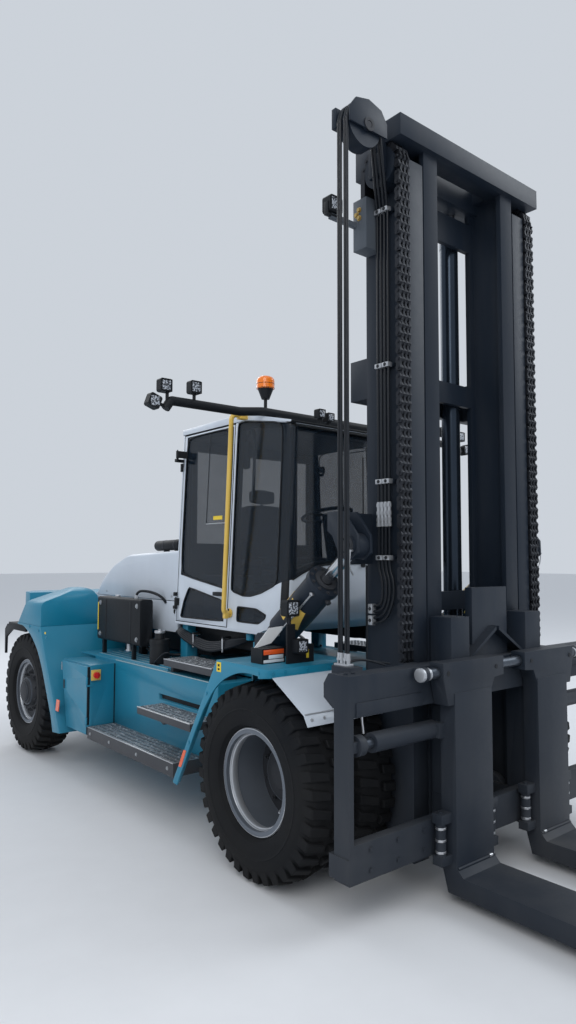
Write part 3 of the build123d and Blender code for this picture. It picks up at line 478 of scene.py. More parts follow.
def ring(start, end, radius, bore, sides=48):
    start, end = Vector(start), Vector(end)
    half = (end - start).length / 2
    section = ((bore, -half), (radius, -half), (radius, half), (bore, half))
    verts, faces = [], []
    for number in range(sides):
        turn = math.tau * number / sides
        verts += [(r * math.cos(turn), r * math.sin(turn), z) for r, z in section]
        here, after = number * 4, (number + 1) % sides * 4
        for k in range(4):
            beside = (k + 1) % 4
            faces.append([here + k, after + k, after + beside, here + beside])
    return laidAlong(fromPoints("ring", verts, faces), start, end)


def hexBolt(place, normal, size=0.016, height=0.010):
    place, normal = Vector(place), Vector(normal).normalized()
    head = rod(place, place + normal * height, size, 6)
    washer = rod(place, place + normal * height * 0.25, size * 1.35, 12)
    return [head, washer]


def pipe(points, radius, loop=False, sides=4):
    line = bpy.data.curves.new("pipe", "CURVE")
    line.dimensions = "3D"
    spline = line.splines.new("NURBS")
    spline.points.add(len(points) - 1)
    for number, point in enumerate(points):
        spline.points[number].co = (*point, 1)
    spline.order_u = min(3, len(points))
    spline.use_endpoint_u = not loop
    spline.use_cyclic_u = loop
    spline.resolution_u = 8
    line.bevel_depth = radius
    line.bevel_resolution = sides
    line.use_fill_caps = True
    made = bpy.data.objects.new("pipe", line)
    bpy.context.scene.collection.objects.link(made)
    select(made)
    bpy.ops.object.convert(target="MESH")
    return bpy.context.object


def copied(thing, shift=(0, 0, 0)):
    twin = thing.copy()
    twin.data = thing.data.copy()
    bpy.context.scene.collection.objects.link(twin)
    twin.data.transform(Matrix.Translation(Vector(shift)))
    return twin


def mirrorX(thing):
    twin = copied(thing)
    twin.data.transform(Matrix.Scale(-1, 4, (1, 0, 0)))
    twin.data.flip_normals()
    return twin


def merged(things, name):
    select(*things)
    if len(things) > 1:
        bpy.ops.object.join()
    made = bpy.context.object
    made.name = name
    made.data.name = name
    return made


def smooth(thing, angle=32):
    select(thing)
    bpy.ops.object.shade_smooth_by_angle(angle=math.radians(angle))
    return thing


def painted(thing, finish):
    thing.data.materials.clear()
    thing.data.materials.append(finishes[finish])
    return thing


def piece(things, name, body, finish=None, replaces=(), angle=32):
    made = merged(things if isinstance(things, list) else [things], name)
    if finish:
        painted(made, finish)
        finish in slotOf
    smooth(made, angle)
    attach(made, body)
    if replaces:
        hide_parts(*replaces)
    return made


nodeFinish = {
    "air_box": "black", "anchor_chains": "chain", "beacon_dome": "amber", "cab_controls": "black",
    "cab_glass": "glass", "cab_roof": "greyWhite", "cab_seat": "seat", "cab_shell": "greyWhite",
    "cabinet_door": "teal", "carriage_bars": "chrome", "carriage_chains": "chain",
    "carriage_frame": "charcoal", "carriage_hoses": "hose", "chassis_frame": "teal",
    "counterweight": "teal", "door_frame_left": "greyWhite", "door_frame_right": "greyWhite",
    "door_glass_left": "glass", "door_glass_right": "glass", "drive_axle": "iron",
    "drive_rims_left": "barrel", "drive_rims_right": "barrel", "drive_tyres_left": "tyre",
    "drive_tyres_right": "tyre", "engine_block": "iron", "fork_left": "charcoal",
    "fork_right": "charcoal", "front_guards": "teal", "handrails": "yellow",
    "hood_lid": "greyWhite", "hood_sides": "greyWhite", "knuckle_left": "iron",
    "knuckle_right": "iron", "lamp_arms": "black", "lift_barrels": "gloss",
    "lift_rods": "chrome", "mast_hose_tails": "hose", "mast_hoses": "hose",
    "mast_inner": "charcoal", "mast_lamp": "black", "mast_outer": "charcoal",
    "mast_pulleys": "charcoal", "rear_covers": "teal", "rear_fenders": "teal",
    "rear_flaps": "black", "rear_grille": "black", "side_boxes": "teal",
    "side_steps": "galvanised", "side_tanks": "teal", "steer_axle": "iron",
    "steer_rim_left": "barrel", "steer_rim_right": "barrel", "steer_tyre_left": "tyre",
    "steer_tyre_right": "tyre", "tilt_barrel_left": "charcoal", "tilt_barrel_right": "charcoal",
    "tilt_rod_left": "chrome", "tilt_rod_right": "chrome", "tilt_towers": "charcoal",
    "work_lamps": "black",
}


def paintNodes():
    for name, finish in nodeFinish.items():
        painted(frame["nodes"][name], finish)


# Skins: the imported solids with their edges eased, as welded and pressed plate has
skins = {
    # node: edge radius
    "mast_outer": 0.004, "mast_inner": 0.004, "carriage_frame": 0.005, "fork_right": 0.006,
    "fork_left": 0.006, "front_guards": 0.003, "rear_fenders": 0.004, "rear_covers": 0.003,
    "side_boxes": 0.006, "cabinet_door": 0.003, "cab_shell": 0.003, "door_frame_right": 0.003,
    "door_frame_left": 0.003, "hood_sides": 0.004, "hood_lid": 0.003, "counterweight": 0.008,
    "side_tanks": 0.006, "side_steps": 0.003, "air_box": 0.004, "tilt_towers": 0.004,
    "rear_flaps": 0.003, "cab_roof": 0.004, "chassis_frame": 0.004, "tilt_rod_right": 0.002,
    "tilt_rod_left": 0.002, "carriage_bars": 0.002,
}


# Second finishes go by the place of a face: millimetres and its normal
cabPlane = {
    "half": 772,
    "floor": 1315,
    "lean": 68 / 1508,  # each side leans in towards the roof
    "front": 300,
    "rear": 1664,
}


def offCabFace(x, y, z, normal):
    # the white is the outer 5 mm of the cab's sides; the rest is black: real black for the posts behind the
    # glass and the hinges, painted shade for the walls inside the cab seen through the glass
    if z < 1460 and y < 600 and normal.y < -0.2:
        return False
    side = cabPlane["half"] - (z - cabPlane["floor"]) * cabPlane["lean"] - abs(x)
    depth = min(side, y - cabPlane["front"], cabPlane["rear"] - y)
    return depth > 5 or depth < -3


def hoodPipe(x, y, z, normal):
    # the exhaust pipe lies on the hood's slanting top
    return abs(x + 640) < 60 and y > 1780 and z > 1897 - (y - 1704) * 0.036


secondFinishes = {
    # inside the cab the black is painted shade seen through the glass; the posts and hinges are really black
    "cab_shell": ("black", offCabFace),
    "door_frame_right": ("black", offCabFace),
    "door_frame_left": ("black", offCabFace),
    "cab_roof": ("black", lambda x, y, z, normal: y < 300 or normal.z < -0.5),
    "hood_lid": ("black", hoodPipe),
    "front_guards": ("greyWhite", lambda x, y, z, normal: y < -131),
    # step faces that don't face up get the painted shade of the step sides
    "side_steps": ("stepSide", lambda x, y, z, normal: normal.z < 0.5),
    "tilt_rod_right": ("charcoal", lambda x, y, z, normal: y < -380),
    "tilt_rod_left": ("charcoal", lambda x, y, z, normal: y < -380),
    "carriage_bars": ("worn", lambda x, y, z, normal: abs(x) < 656 or z < 1000),
    "mast_outer": ("dusty", lambda x, y, z, normal: abs(x) > 592 and z > 2700),
    "hood_sides": ("black", lambda x, y, z, normal: z < 1240),
}


def repaint(thing, finish, chosen):
    thing.data.materials.append(finishes[finish])
    number = len(thing.data.materials) - 1
    for face in thing.data.polygons:
        x, y, z = face.center
        if chosen(x * 1000, (y - axleY) * 1000, z * 1000, face.normal):
            face.material_index = number


def easeEdges():
    for node, radius in skins.items():
        source = frame["nodes"][node]
        skin = source.copy()
        skin.data = source.data.copy()
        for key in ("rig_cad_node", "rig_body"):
            if key in skin:
                del skin[key]
        bpy.context.scene.collection.objects.link(skin)
        skin.parent = None
        edited(skin, (bpy.ops.mesh.remove_doubles, {"threshold": 0.0002}),
               (bpy.ops.mesh.dissolve_limited, {"angle_limit": math.radians(1.5)}))
        bevel(skin, radius, 2, 40)
        made = piece(skin, "skin_" + node, source["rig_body"], nodeFinish[node], [node], 38)
        if node in secondFinishes:
            repaint(made, *secondFinishes[node])


print("camera and light")
makeCamera()
makeStudio()
finishes = makeFinishes()
paintNodes()
print("eased edges")
easeEdges()


# Millimetre shapes, and a kit that gathers them by piece
def block(x, y, z, rounding=0.0, steps=2):
    low, high = at(min(x), min(y), min(z)), at(max(x), max(y), max(z))
    return cube(low, high, rounding / 1000, steps)


def bar(start, end, radius, sides=20, rounding=0.0):
    return rod(at(*start), at(*end), radius / 1000, sides, rounding / 1000)


def hoop(start, end, radius, bore, sides=40):
    return ring(at(*start), at(*end), radius / 1000, bore / 1000, sides)


def hose(points, radius, loop=False, sides=4):
    return pipe([at(*p) for p in points], radius / 1000, loop, sides)


def bolts(places, normal, size=14, height=9):
    made = []
    for place in places:
        made += hexBolt(at(*place), normal, size / 1000, height / 1000)
    return made


kit = {}


def fit(name, body, finish, *things):
    kit.setdefault((name, body, finish), []).extend(things)


def assemble():
    for (name, body, finish), things in kit.items():
        piece(things, name, body, finish)
    kit.clear()


def arrayed(thing, count, step):
    select(thing)
    rows = thing.modifiers.new("rows", "ARRAY")
    rows.count = count
    rows.use_relative_offset = False
    rows.use_constant_offset = True
    rows.constant_offset_displace = Vector(step) / 1000
    bpy.ops.object.modifier_apply(modifier="rows")
    return thing


# Tyres: a spun carcass with worn industrial lugs
tyreShape = {
    "lugs": 36,
    "lugDepth": 0.030,
    "lugWidth": 0.058,
    "sections": 96,
    "bead": 0.292,
    "play": 0.003,  # room between the carcass and the solid's side
}


def spunProfile(points, centre, sections=96):
    # points are (x, radius); spun about the X axis through centre
    verts = [(x, centre.y, centre.z + r) for x, r in points]
    made = fromPoints("profile", verts, [], [(i, i + 1) for i in range(len(verts) - 1)])
    turned = {"steps": sections, "dupli": False, "angle": math.tau, "center": centre, "axis": (1, 0, 0)}
    return edited(made, (bpy.ops.mesh.spin, turned),
                  (bpy.ops.mesh.remove_doubles, {"threshold": 0.0003}), outward)


def lug(x0, x1, skew, radius, depth, width):
    # one tread bar from the middle (x0) out over the shoulder (x1)
    clearSelection()
    bpy.ops.mesh.primitive_cube_add(size=1)
    made = bpy.context.object
    made.scale = (abs(x1 - x0), width, depth * 1.5)
    settle(made)
    outer = 1 if x1 > x0 else -1
    for vertex in made.data.vertices:
        share = vertex.co.x / abs(x1 - x0) * outer + 0.5
        vertex.co.y += skew * (share - 0.5)
        vertex.co.y *= 0.9 + 0.22 * share
        if vertex.co.z > 0:
            vertex.co.y *= 0.84
            if share > 0.9:
                vertex.co.z -= 0.022
                vertex.co.x -= 0.010 * outer
        elif share > 0.9:
            vertex.co.z -= 0.050
    made.data.transform(Matrix.Translation(((x0 + x1) / 2, 0, radius - depth * 0.75)))
    return bevel(made, 0.005, 1, 20)


def treadedTyre(centreX, halfWidth, centre, radius, bead):
    inner = radius - tyreShape["lugDepth"]
    h = halfWidth
    outline = [
        (h - 0.052, bead - 0.004), (h - 0.046, bead + 0.012), (h - 0.014, bead + 0.030),
        (h - 0.012, bead + 0.036), (h - 0.005, bead + 0.052), (h - 0.003, bead + 0.100),
        (h - 0.001, bead + 0.112), (h + 0.002, bead + 0.116), (h - 0.001, bead + 0.121),
        (h - 0.001, bead + 0.150), (h - 0.008, inner - 0.050), (h - 0.016, inner - 0.036),
        (h - 0.040, inner - 0.006), (0.10, inner), (0, inner + 0.003),
    ]
    profile = [(centreX + x, r) for x, r in outline]
    profile += [(centreX - x, r) for x, r in reversed(outline[:-1])]
    parts = [spunProfile(profile, centre, tyreShape["sections"])]
    for side in (-1, 1):
        first = lug(side * 0.020, side * (h - 0.004), side * 0.026, radius,
                    tyreShape["lugDepth"], tyreShape["lugWidth"])
        for number in range(tyreShape["lugs"]):
            turn = math.tau * (number + (0.5 if side > 0 else 0)) / tyreShape["lugs"]
            tread = copied(first)
            tread.data.transform(Matrix.Rotation(turn, 4, "X"))
            tread.data.transform(Matrix.Translation((centreX, centre.y, centre.z)))
            parts.append(tread)
        bpy.data.objects.remove(first)
    return parts


def makeTyres():
    low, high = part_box("drive_tyres_left")
    steerLow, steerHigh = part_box("steer_tyre_left")
    radius = (high.z - low.z) / 2 - 0.001
    half = (steerHigh.x - steerLow.x) / 2
    bead, width = tyreShape["bead"], half - tyreShape["play"]
    drive = treadedTyre(high.x - half, width, (low + high) / 2, radius, bead)
    drive += treadedTyre(low.x + half, width, (low + high) / 2, radius, bead)
    steer = treadedTyre((steerLow.x + steerHigh.x) / 2, width, (steerLow + steerHigh) / 2, radius, bead)
    for kind, parts, body, node in (("drive", drive, "drive_wheel", "drive_tyres"),
                                    ("steer", steer, "steer_wheel", "steer_tyre")):
        left = merged(parts, kind + "_treads_left")
        right = mirrorX(left)
        piece(left, kind + "_treads_left", body + "_left", "tyre", [node + "_left"], 30)
        piece(right, kind + "_treads_right", body + "_right", "tyre", [node + "_right"], 30)


print("tyres")
makeTyres()


# Rims: a thick flange ring, a lock ring behind it, then a deep dark hub
rimShape = {
    "flange": [(1176, 262), (1196, 264), (1208, 270), (1216, 280), (1224, 283), (1229, 290),
               (1228, 297), (1221, 301), (1212, 299), (1204, 292), (1190, 291)],
    "lockRing": [(1150, 262), (1170, 254), (1184, 252), (1194, 255), (1198, 261), (1190, 266)],
    "driveHub": [(956, 266), (956, 226), (962, 222), (962, 166), (990, 160), (1010, 148),
                 (1016, 120), (1016, 84), (1034, 76), (1036, 1)],
    "steerHub": [(1176, 266), (1176, 214), (1182, 210), (1182, 140), (1236, 120), (1246, 112),
                 (1250, 94), (1264, 90), (1268, 78), (1269, 1)],
    "nuts": 10,
    "driveNut": (963, 194, 26),  # x, radius of the ring of nuts, depth
    "steerNut": (1183, 176, 24),
    "valve": [(1060, -128, 452), (1120, -150, 446), (1160, -170, 441), (1196, -196, 434)],
    "axleHeight": 560,
}


def spunRing(points, centre, sections=72):
    return spunProfile([(x / 1000, r / 1000) for x, r in points], centre, sections)


def makeRims():
    for kind, node in (("drive", "drive_rims"), ("steer", "steer_rim")):
        low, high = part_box(node + "_left")
        centre = (low + high) / 2
        y = (centre.y - axleY) * 1000
        nutX, nutRadius, depth = rimShape[kind + "Nut"]
        bright = [spunRing(rimShape["flange"], centre), spunRing(rimShape["lockRing"], centre)]
        dark = [spunRing(rimShape[kind + "Hub"], centre, 48)]
        for number in range(rimShape["nuts"]):
            turn = math.tau * number / rimShape["nuts"]
            place = (nutX, y + nutRadius * math.sin(turn),
                     rimShape["axleHeight"] + nutRadius * math.cos(turn))
            dark += bolts([place], (1, 0, 0), 17, depth)
            dark.append(bar(place, (nutX + depth + 14, place[1], place[2]), 9, 10))
        bright.append(hose([(x, y + behind, z) for x, behind, z in rimShape["valve"]], 5))
        for finish, parts, label in (("silver", bright, "_flanges_"), ("iron", dark, "_hub_")):
            left = merged(parts, kind + label)
            right = mirrorX(left)
            body = kind + "_wheel_"
            piece(left, kind + label + "left", body + "left", finish, (), 38)
            piece(right, kind + label + "right", body + "right", finish, (), 38)


print("rims")
makeRims()


# Leaf chains: rows of plates on pins
chainShape = {
    "pitch": 0.0508,
    "plate": 0.0052,
    "height": 0.040,
    "pin": 0.0085,
    "width": 0.096,
    "rows": 12,
    "drop": 0.1,  # a plate starts this share of a step below its place
    "overhang": 0.003,
    # half of a plate's outline: shares of its half height and of a step
    "waist": [(0.62, 0.10), (1, 0.25), (0.74, 0.5), (1, 0.75), (0.62, 0.90)],
}


def leafChain(x, y, bottom, top):
    # one link pair modelled once, then copied up the strand
    pairs = max(1, round((top - bottom) / (2 * chainShape["pitch"])))
    step = (top - bottom) / pairs
    half, deep, width = chainShape["plate"] / 2, chainShape["height"] / 2, chainShape["width"]
    lowered = step * chainShape["drop"]
    waist = chainShape["waist"]
    outline = [(-deep * dy, dz) for dy, dz in waist] + [(deep * dy, dz) for dy, dz in reversed(waist)]
    extruded = {"TRANSFORM_OT_translate": {"value": (half * 2, 0, 0)}}
    unit = []
    for row in range(chainShape["rows"]):
        px = x - width / 2 + width * (row + 0.5) / chainShape["rows"]
        shift = step / 2 if (row // 2) % 2 else 0
        verts = [(px - half, y + dy, bottom + shift + step * dz - lowered) for dy, dz in outline]
        leaf = fromPoints("leaf", verts, [list(range(len(verts)))])
        unit.append(edited(leaf, (bpy.ops.mesh.extrude_region_move, extruded), outward))
    reach = width / 2 + chainShape["overhang"]
    for share in (0.25, 0.75):
        z = bottom + step * share - lowered
        unit.append(rod((x - reach, y, z), (x + reach, y, z), chainShape["pin"], 10))
    first = merged(unit, "chainUnit")
    strand = [first] + [copied(first, (0, 0, step * number)) for number in range(1, pairs)]
    chain = merged(strand, "chain")
    for vertex in chain.data.vertices:
        vertex.co.z = min(max(vertex.co.z, bottom), top)
    return chain


def shortening(made, y, top):
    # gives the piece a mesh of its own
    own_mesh(made)


def makeHoseDrop():
    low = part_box("carriage_hoses")[0]
    x, ys, z = mastTrim["dropX"], mastTrim["dropY"], mastTrim["sheave"][1]
    runs = [bar((x, y, low.z * 1000), (x, y, z), 8, 12) for y in ys]
    made = piece(runs, "carriage_hose_drop", "inner_mast", "hose", ["carriage_hoses"], 30)
    shortening(made, at(0, (ys[0] + ys[-1]) / 2, 0).y, at(0, 0, z).z)


def makeChains():
    low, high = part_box("carriage_chains")
    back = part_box("anchor_chains")
    y = (low.y + high.y) / 2
    x = high.x - chainShape["width"] / 2
    lift = leafChain(x, y, low.z, high.z)
    made = piece([lift, mirrorX(lift)], "lift_chains", "inner_mast", "chain", ["carriage_chains"], 30)
    shortening(made, y, high.z)
    centreY = (y + (back[0].y + back[1].y) / 2) / 2
    reach = centreY - y
    wrap = leafChain(x, 0, 0, math.pi * reach)
    for vertex in wrap.data.vertices:  # bent over its pulley
        turn, r = vertex.co.z / reach, reach - vertex.co.y
        vertex.co.y = centreY - r * math.cos(turn)
        vertex.co.z = high.z + r * math.sin(turn)
    piece([wrap, mirrorX(wrap)], "chain_wraps", "inner_mast", "chain", (), 30)


print("chains")
makeChains()


# Mast: clamps, steel sleeves, hose loops, the pin's boss, the mast lamp and the sheave
mastTrim = {
    "hoseY": [-510, -482, -454, -426],
    "clampZ": [1836, 2282, 2972, 3915],
    "loopY": [-545, -514, -487, -456],
    "loopZ": [1452, 1484, 1520, 1552],
    "hoseX": -634,
    "sleeve": (2018, 2162),
    "sleeveRings": (2018, 2048, 2086, 2132),
    "loopClampZ": (1468, 1536),
    "pin": (-457, 1902),
    "pinBolts": 8,
    "sheave": (-965, 4235),
    "sheaveReach": 129,
    "dropX": -1094.5,
    "dropY": (-640, -622, -590, -572),
}


def clamp(x, y, z, half, bolt):
    # a silver clamp with its bolt
    body = "outer_mast"
    fit("mast_clamps", body, "silver",
        block(x, (y - half[0], y + half[0]), (z - half[1], z + half[1]), 3))
    fit("mast_clamp_bolts", body, "iron", *bolts([(bolt, y, z)], (-1, 0, 0), 8, 6))


def makeMastTrim():
    body = "outer_mast"
    x, ys = mastTrim["hoseX"], mastTrim["hoseY"]
    runs = []
    for y, far, z in zip(ys, mastTrim["loopY"], mastTrim["loopZ"]):
        runs.append(bar((x, y, 1824), (x, y, 3904), 8, 12))
        runs.append(hose([(x, y, 1826), (x, y, 1770), (x - 2, far, 1700), (x - 4, far, 1590),
                          (x - 4, (far - 400) / 2, z), (x - 2, -372, z)], 8))
        low, high = mastTrim["sleeve"]
        fit("hose_fittings", body, "silver", bar((x, y, low), (x, y, high), 11, 12))
        for z0 in mastTrim["sleeveRings"]:
            fit("hose_fittings", body, "silver", bar((x, y, z0), (x, y, z0 + 22), 14, 6))
    piece(runs, "mast_hose_runs", body, "hose", ["mast_hoses"])
    for z in mastTrim["clampZ"]:
        for y in ((ys[0] + ys[1]) / 2, (ys[2] + ys[3]) / 2):
            clamp((-652, -616), y, z, (26, 14), -652)
        fit("mast_brackets", body, "charcoal", block((-618, -590), (-528, -408), (z - 12, z + 12), 2))
    for z in mastTrim["loopClampZ"]:
        clamp((-656, -618), -370, z, (16, 28), -656)
        fit("mast_brackets", body, "charcoal", block((-620, -590), (-384, -356), (z - 24, z + 24), 2))
    y, z = mastTrim["pin"]
    turns = [k * math.tau / mastTrim["pinBolts"] for k in range(mastTrim["pinBolts"])]
    for s in (-1, 1):
        fit("pin_rings", body, "iron", hoop((s * 934, y, z), (s * 943, y, z), 58, 44),
            bar((s * 934, y, z), (s * 940, y, z), 34), bar((s * 940, y, z), (s * 948, y, z), 14, 6))
        spots = [(s * 934, y + 51 * math.cos(turn), z + 51 * math.sin(turn)) for turn in turns]
        fit("pin_bolts", body, "iron", *bolts(spots, (s, 0, 0), 5, 12))
        fit("grease_fittings", body, "steel",
            bar((s * 930, y - 50, z - 27), (s * 956, y - 54, z - 30), 8, 10),
            hose([(s * 950, y - 53, z - 30), (s * 956, y - 50, z - 80), (s * 944, y - 40, z - 130),
                  (s * 905, y - 27, z - 163)], 4))
    anchor = [(-712, -352, 3940), (-712, -352, 3890), (-712, -330, 3915)]
    fit("anchor_nuts", body, "brass", *bolts(anchor, (-1, 0, 0), 13, 12))
    fit("anchor_nuts", body, "brass", *bolts([(-x, y, z) for x, y, z in anchor], (1, 0, 0), 13, 12))
    fit("mast_cable", body, "hose", bar((-575, -276, 1080), (-575, -276, 1790), 14, 12),
        hose([(-575, -276, 1085), (-575, -276, 1055), (-560, -268, 1040), (-540, -262, 1040)], 14))
    fit("mast_lamp_lens", body, "lens", block((-936, -864), (-352, -349), (3884, 3956), 1))
    fit("mast_lamp_yoke", body, "black", block((-955, -949), (-335, -300), (3858, 3930), 1),
        block((-851, -845), (-335, -300), (3858, 3930), 1),
        block((-955, -845), (-335, -300), (3852, 3860), 1))
    (x, z), reach = mastTrim["sheave"], mastTrim["sheaveReach"]
    turns = [math.pi * k / 8 for k in range(9)]
    over = [(x + reach * math.cos(turn), z + reach * math.sin(turn)) for turn in reversed(turns)]
    for y in mastTrim["dropY"]:
        fit("sheave_hoses", "inner_mast", "hose", hose([(px, y, pz) for px, pz in over], 8))
    fit("sheave_pin", "inner_mast", "iron", hoop((-950, -668, z), (-950, -674, z), 38, 20, 24),
        bar((-950, -668, z), (-950, -672, z), 18))
    for s in (-1, 1):
        fit("pulley_caps", "inner_mast", "iron", bar((s * 690, -500, 4150), (s * 700, -500, 4150), 40),
            *bolts([(s * 700, -500, 4150)], (s, 0, 0), 14, 8))
        fit("lift_glands", body, "silver",
            hoop((s * 240, -280, 4080), (s * 240, -280, 4092), 62, 46, 32))
    assemble()


print("mast")
makeMastTrim()
makeHoseDrop()


def plateBetween(first, second):
    # a closed plate between two outlines that have the same number of corners
    count = len(first)
    faces = [list(range(count)), list(range(count, 2 * count))[::-1]]
    for k in range(count):
        beside = (k + 1) % count
        faces.append([k, k + count, beside + count, beside])
    plate = fromPoints("plate", [at(*corner) for corner in first + second], faces)
    return edited(plate, outward)


def crossPlate(corners, y):
    # faces the forks: corners are (x, z)
    return plateBetween(*[[(px, py, pz) for px, pz in corners] for py in y])


def sidePlate(x, corners, thickness):
    # lies on a side face: corners are (y, z)
    return plateBetween(*[[(x + d, y, z) for y, z in corners] for d in (-thickness / 2, thickness / 2)])


def oblong(y, z):
    return [(y[0], z[0]), (y[1], z[0]), (y[1], z[1]), (y[0], z[1])]


# Carriage and forks
carriageTrim = {
    "shaft": (-856, 1222),
    "roller": -848,
    "cylinder": (-772, 905),
    "strut": [(14, 1430), (300, 1246), (276, 1246), (14, 1406)],
    "brace": [(-424, 1363), (-400, 1300), (-360, 1268), (-292, 1254), (-424, 1254)],
    "hoseX": -1095,
    "lowHoses": [[(-1060, -610, 1285), (-1000, -612, 1300), (-900, -640, 1280), (-860, -680, 1262)],
                 [(-1060, -590, 1285), (-980, -580, 1292), (-880, -600, 1278), (-800, -660, 1262)]],
}


def makeCarriageTrim():
    body = "carriage"
    y, z = carriageTrim["shaft"]
    cy, cz = carriageTrim["cylinder"]
    for s in (-1, 1):
        fit("shaft_caps", body, "silver", bar((s * 766, y, z), (s * 793, y, z), 38, 24, 9),
            *[hoop((s * x, y, z), (s * (x + 7), y, z), 34, 30.2, 24) for x in (722, 732)])
        fit("carriage_pipes", body, "steel", hose([(s * 1128, -770, 1056), (s * 1130, -772, 1020),
                                                   (s * 1122, -772, 985), (s * 1120, -772, 958)], 5))
        fit("cylinder_ends", body, "charcoal", bar((s * 1136, cy, cz), (s * 1184, cy, cz), 52, 24, 3),
            block((s * 1172, s * 1218), (-800, -742), (878, 932), 4))
        lower = [(s * x, -800, h) for x in (700, 900, 1100) for h in (300, 400)]
        upper = [(s * x, -740, 1253) for x in (1160, 1210)]
        fit("carriage_bolts", body, "charcoal", *bolts(lower, (0, -1, 0), 12, 7),
            *bolts(upper, (0, 0, 1), 11, 8))
        fit("carriage_web", body, "charcoal", block((s * 700, s * 1200), (-806, -799), (1050, 1120), 3))
        for line in (carriageTrim["strut"], carriageTrim["brace"]):
            fit("carriage_gussets", body, "charcoal",
                crossPlate([(-s * px, pz) for px, pz in line], (-796, -700)))
        fit("column_faces", body, "charcoal", block((s * 452, s * 458), (-790, -662), (520, 1000), 2))
    x, ys = carriageTrim["hoseX"], mastTrim["dropY"]
    fit("hose_blocks", body, "silver", block((-1122, -1068), (-652, -560), (1272, 1284), 2),
        *[bar((x, hy, 1284), (x, hy, 1338), 11, 8) for hy in ys],
        *[bar((x, hy, 1300), (x, hy, 1312), 14, 6) for hy in ys])
    fit("carriage_hoses_low", body, "hose", *[hose(line, 6) for line in carriageTrim["lowHoses"]])
    ry = carriageTrim["roller"]
    for side, s in (("right", -1), ("left", 1)):
        body = "fork_body_" + side
        for x in (180, 620):
            fit("roller_bands_" + side, body, "steel",
                *[bar((s * x, ry, h), (s * x, ry, h + 14), 29.5, 24, 2) for h in (278, 338, 400)])
            fit("roller_nuts_" + side, body, "charcoal", *bolts([(s * x, ry, 482)], (0, 0, 1), 14, 10))
        fit("fork_holes_" + side, body, "black",
            *[bar((s * x, -903, 1220), (s * x, -907, 1220), 13) for x in (180, 612)])
        fit("fork_weld_" + side, body, "charcoal", bar((s * 240, -912, 196), (s * 560, -912, 196), 9, 12))
        fit("fork_wear_" + side, body, "steel", bar((s * 262, -913, 200), (s * 286, -913, 200), 10, 12))
    assemble()


print("carriage and forks")
makeCarriageTrim()


# Tilt cylinders
tiltTrim = {
    "foot": (300, 1290),
    "x": 860,
    "stripes": (290, 440),
    "headBolts": 10,
    "pipe": [(120, 104), (200, 107), (560, 107), (600, 104)],  # (distance, out)
    "ports": (150, 590),
    "pipeTurn": 0.5,
    "portTurn": 1.57,
}


def pipeClip(place, half=10):
    return block(*[(c - half, c + half) for c in place], 2)


def makeTiltTrim():
    (fy, fz), (py, pz) = tiltTrim["foot"], mastTrim["pin"]
    length = math.hypot(py - fy, pz - fz)
    uy, uz = (py - fy) / length, (pz - fz) / length
    pipeTurn, portTurn = tiltTrim["pipeTurn"], tiltTrim["portTurn"]
    for side, s in (("right", -1), ("left", 1)):
        body = "tilt_tube_" + side

        def along(distance, out=0.0, turn=0.0):
            # a place on the cylinder: from its foot, then out from its middle line
            x = tiltTrim["x"] + out * math.cos(turn)
            return (s * x, fy + uy * distance - uz * out * math.sin(turn),
                    fz + uz * distance + uy * out * math.sin(turn))

        first, last = tiltTrim["stripes"]
        fit("tilt_stripes_" + side, body, "stripes", hoop(along(first), along(last), 101.5, 99))
        turns = [k * math.tau / tiltTrim["headBolts"] for k in range(tiltTrim["headBolts"])]
        heads = [along(650, 92, turn) for turn in turns]
        fit("tilt_bolts_" + side, body, "iron", *bolts(heads, (0, uy, uz), 9, 7))
        fit("tilt_gland_" + side, body, "iron", hoop(along(651), along(660), 70, 40))
        fit("tilt_pipe_" + side, body, "steel",
            hose([along(d, out, pipeTurn) for d, out in tiltTrim["pipe"]], 6),
            *[pipeClip(along(d, 104, pipeTurn)) for d in (180, 380, 590)])
        fit("tilt_ports_" + side, body, "iron",
            *[bar(along(d, 95, portTurn), along(d, 125, portTurn), 16, 8) for d in tiltTrim["ports"]])
        fit("tilt_pin_caps_" + side, "chassis", "iron", bar((s * 956, fy, fz), (s * 962, fy, fz), 36),
            *bolts([(s * 962, fy, fz)], (s, 0, 0), 12, 7))
    assemble()


print("tilt cylinders")
makeTiltTrim()


# Work lamps: ribbed lenses, bezels and cooling fins
lamps = [
    # (x, y, z, size, depth)
    (1276, 600, 2936, 84, 56), (1495, 600, 2916, 84, 56), (254, 420, 2841, 66, 50),
    (340, 420, 2858, 66, 50), (1024, -80, 1539, 96, 56), (970, -106, 1318, 84, 54),
]
beacon = (-650, 653)


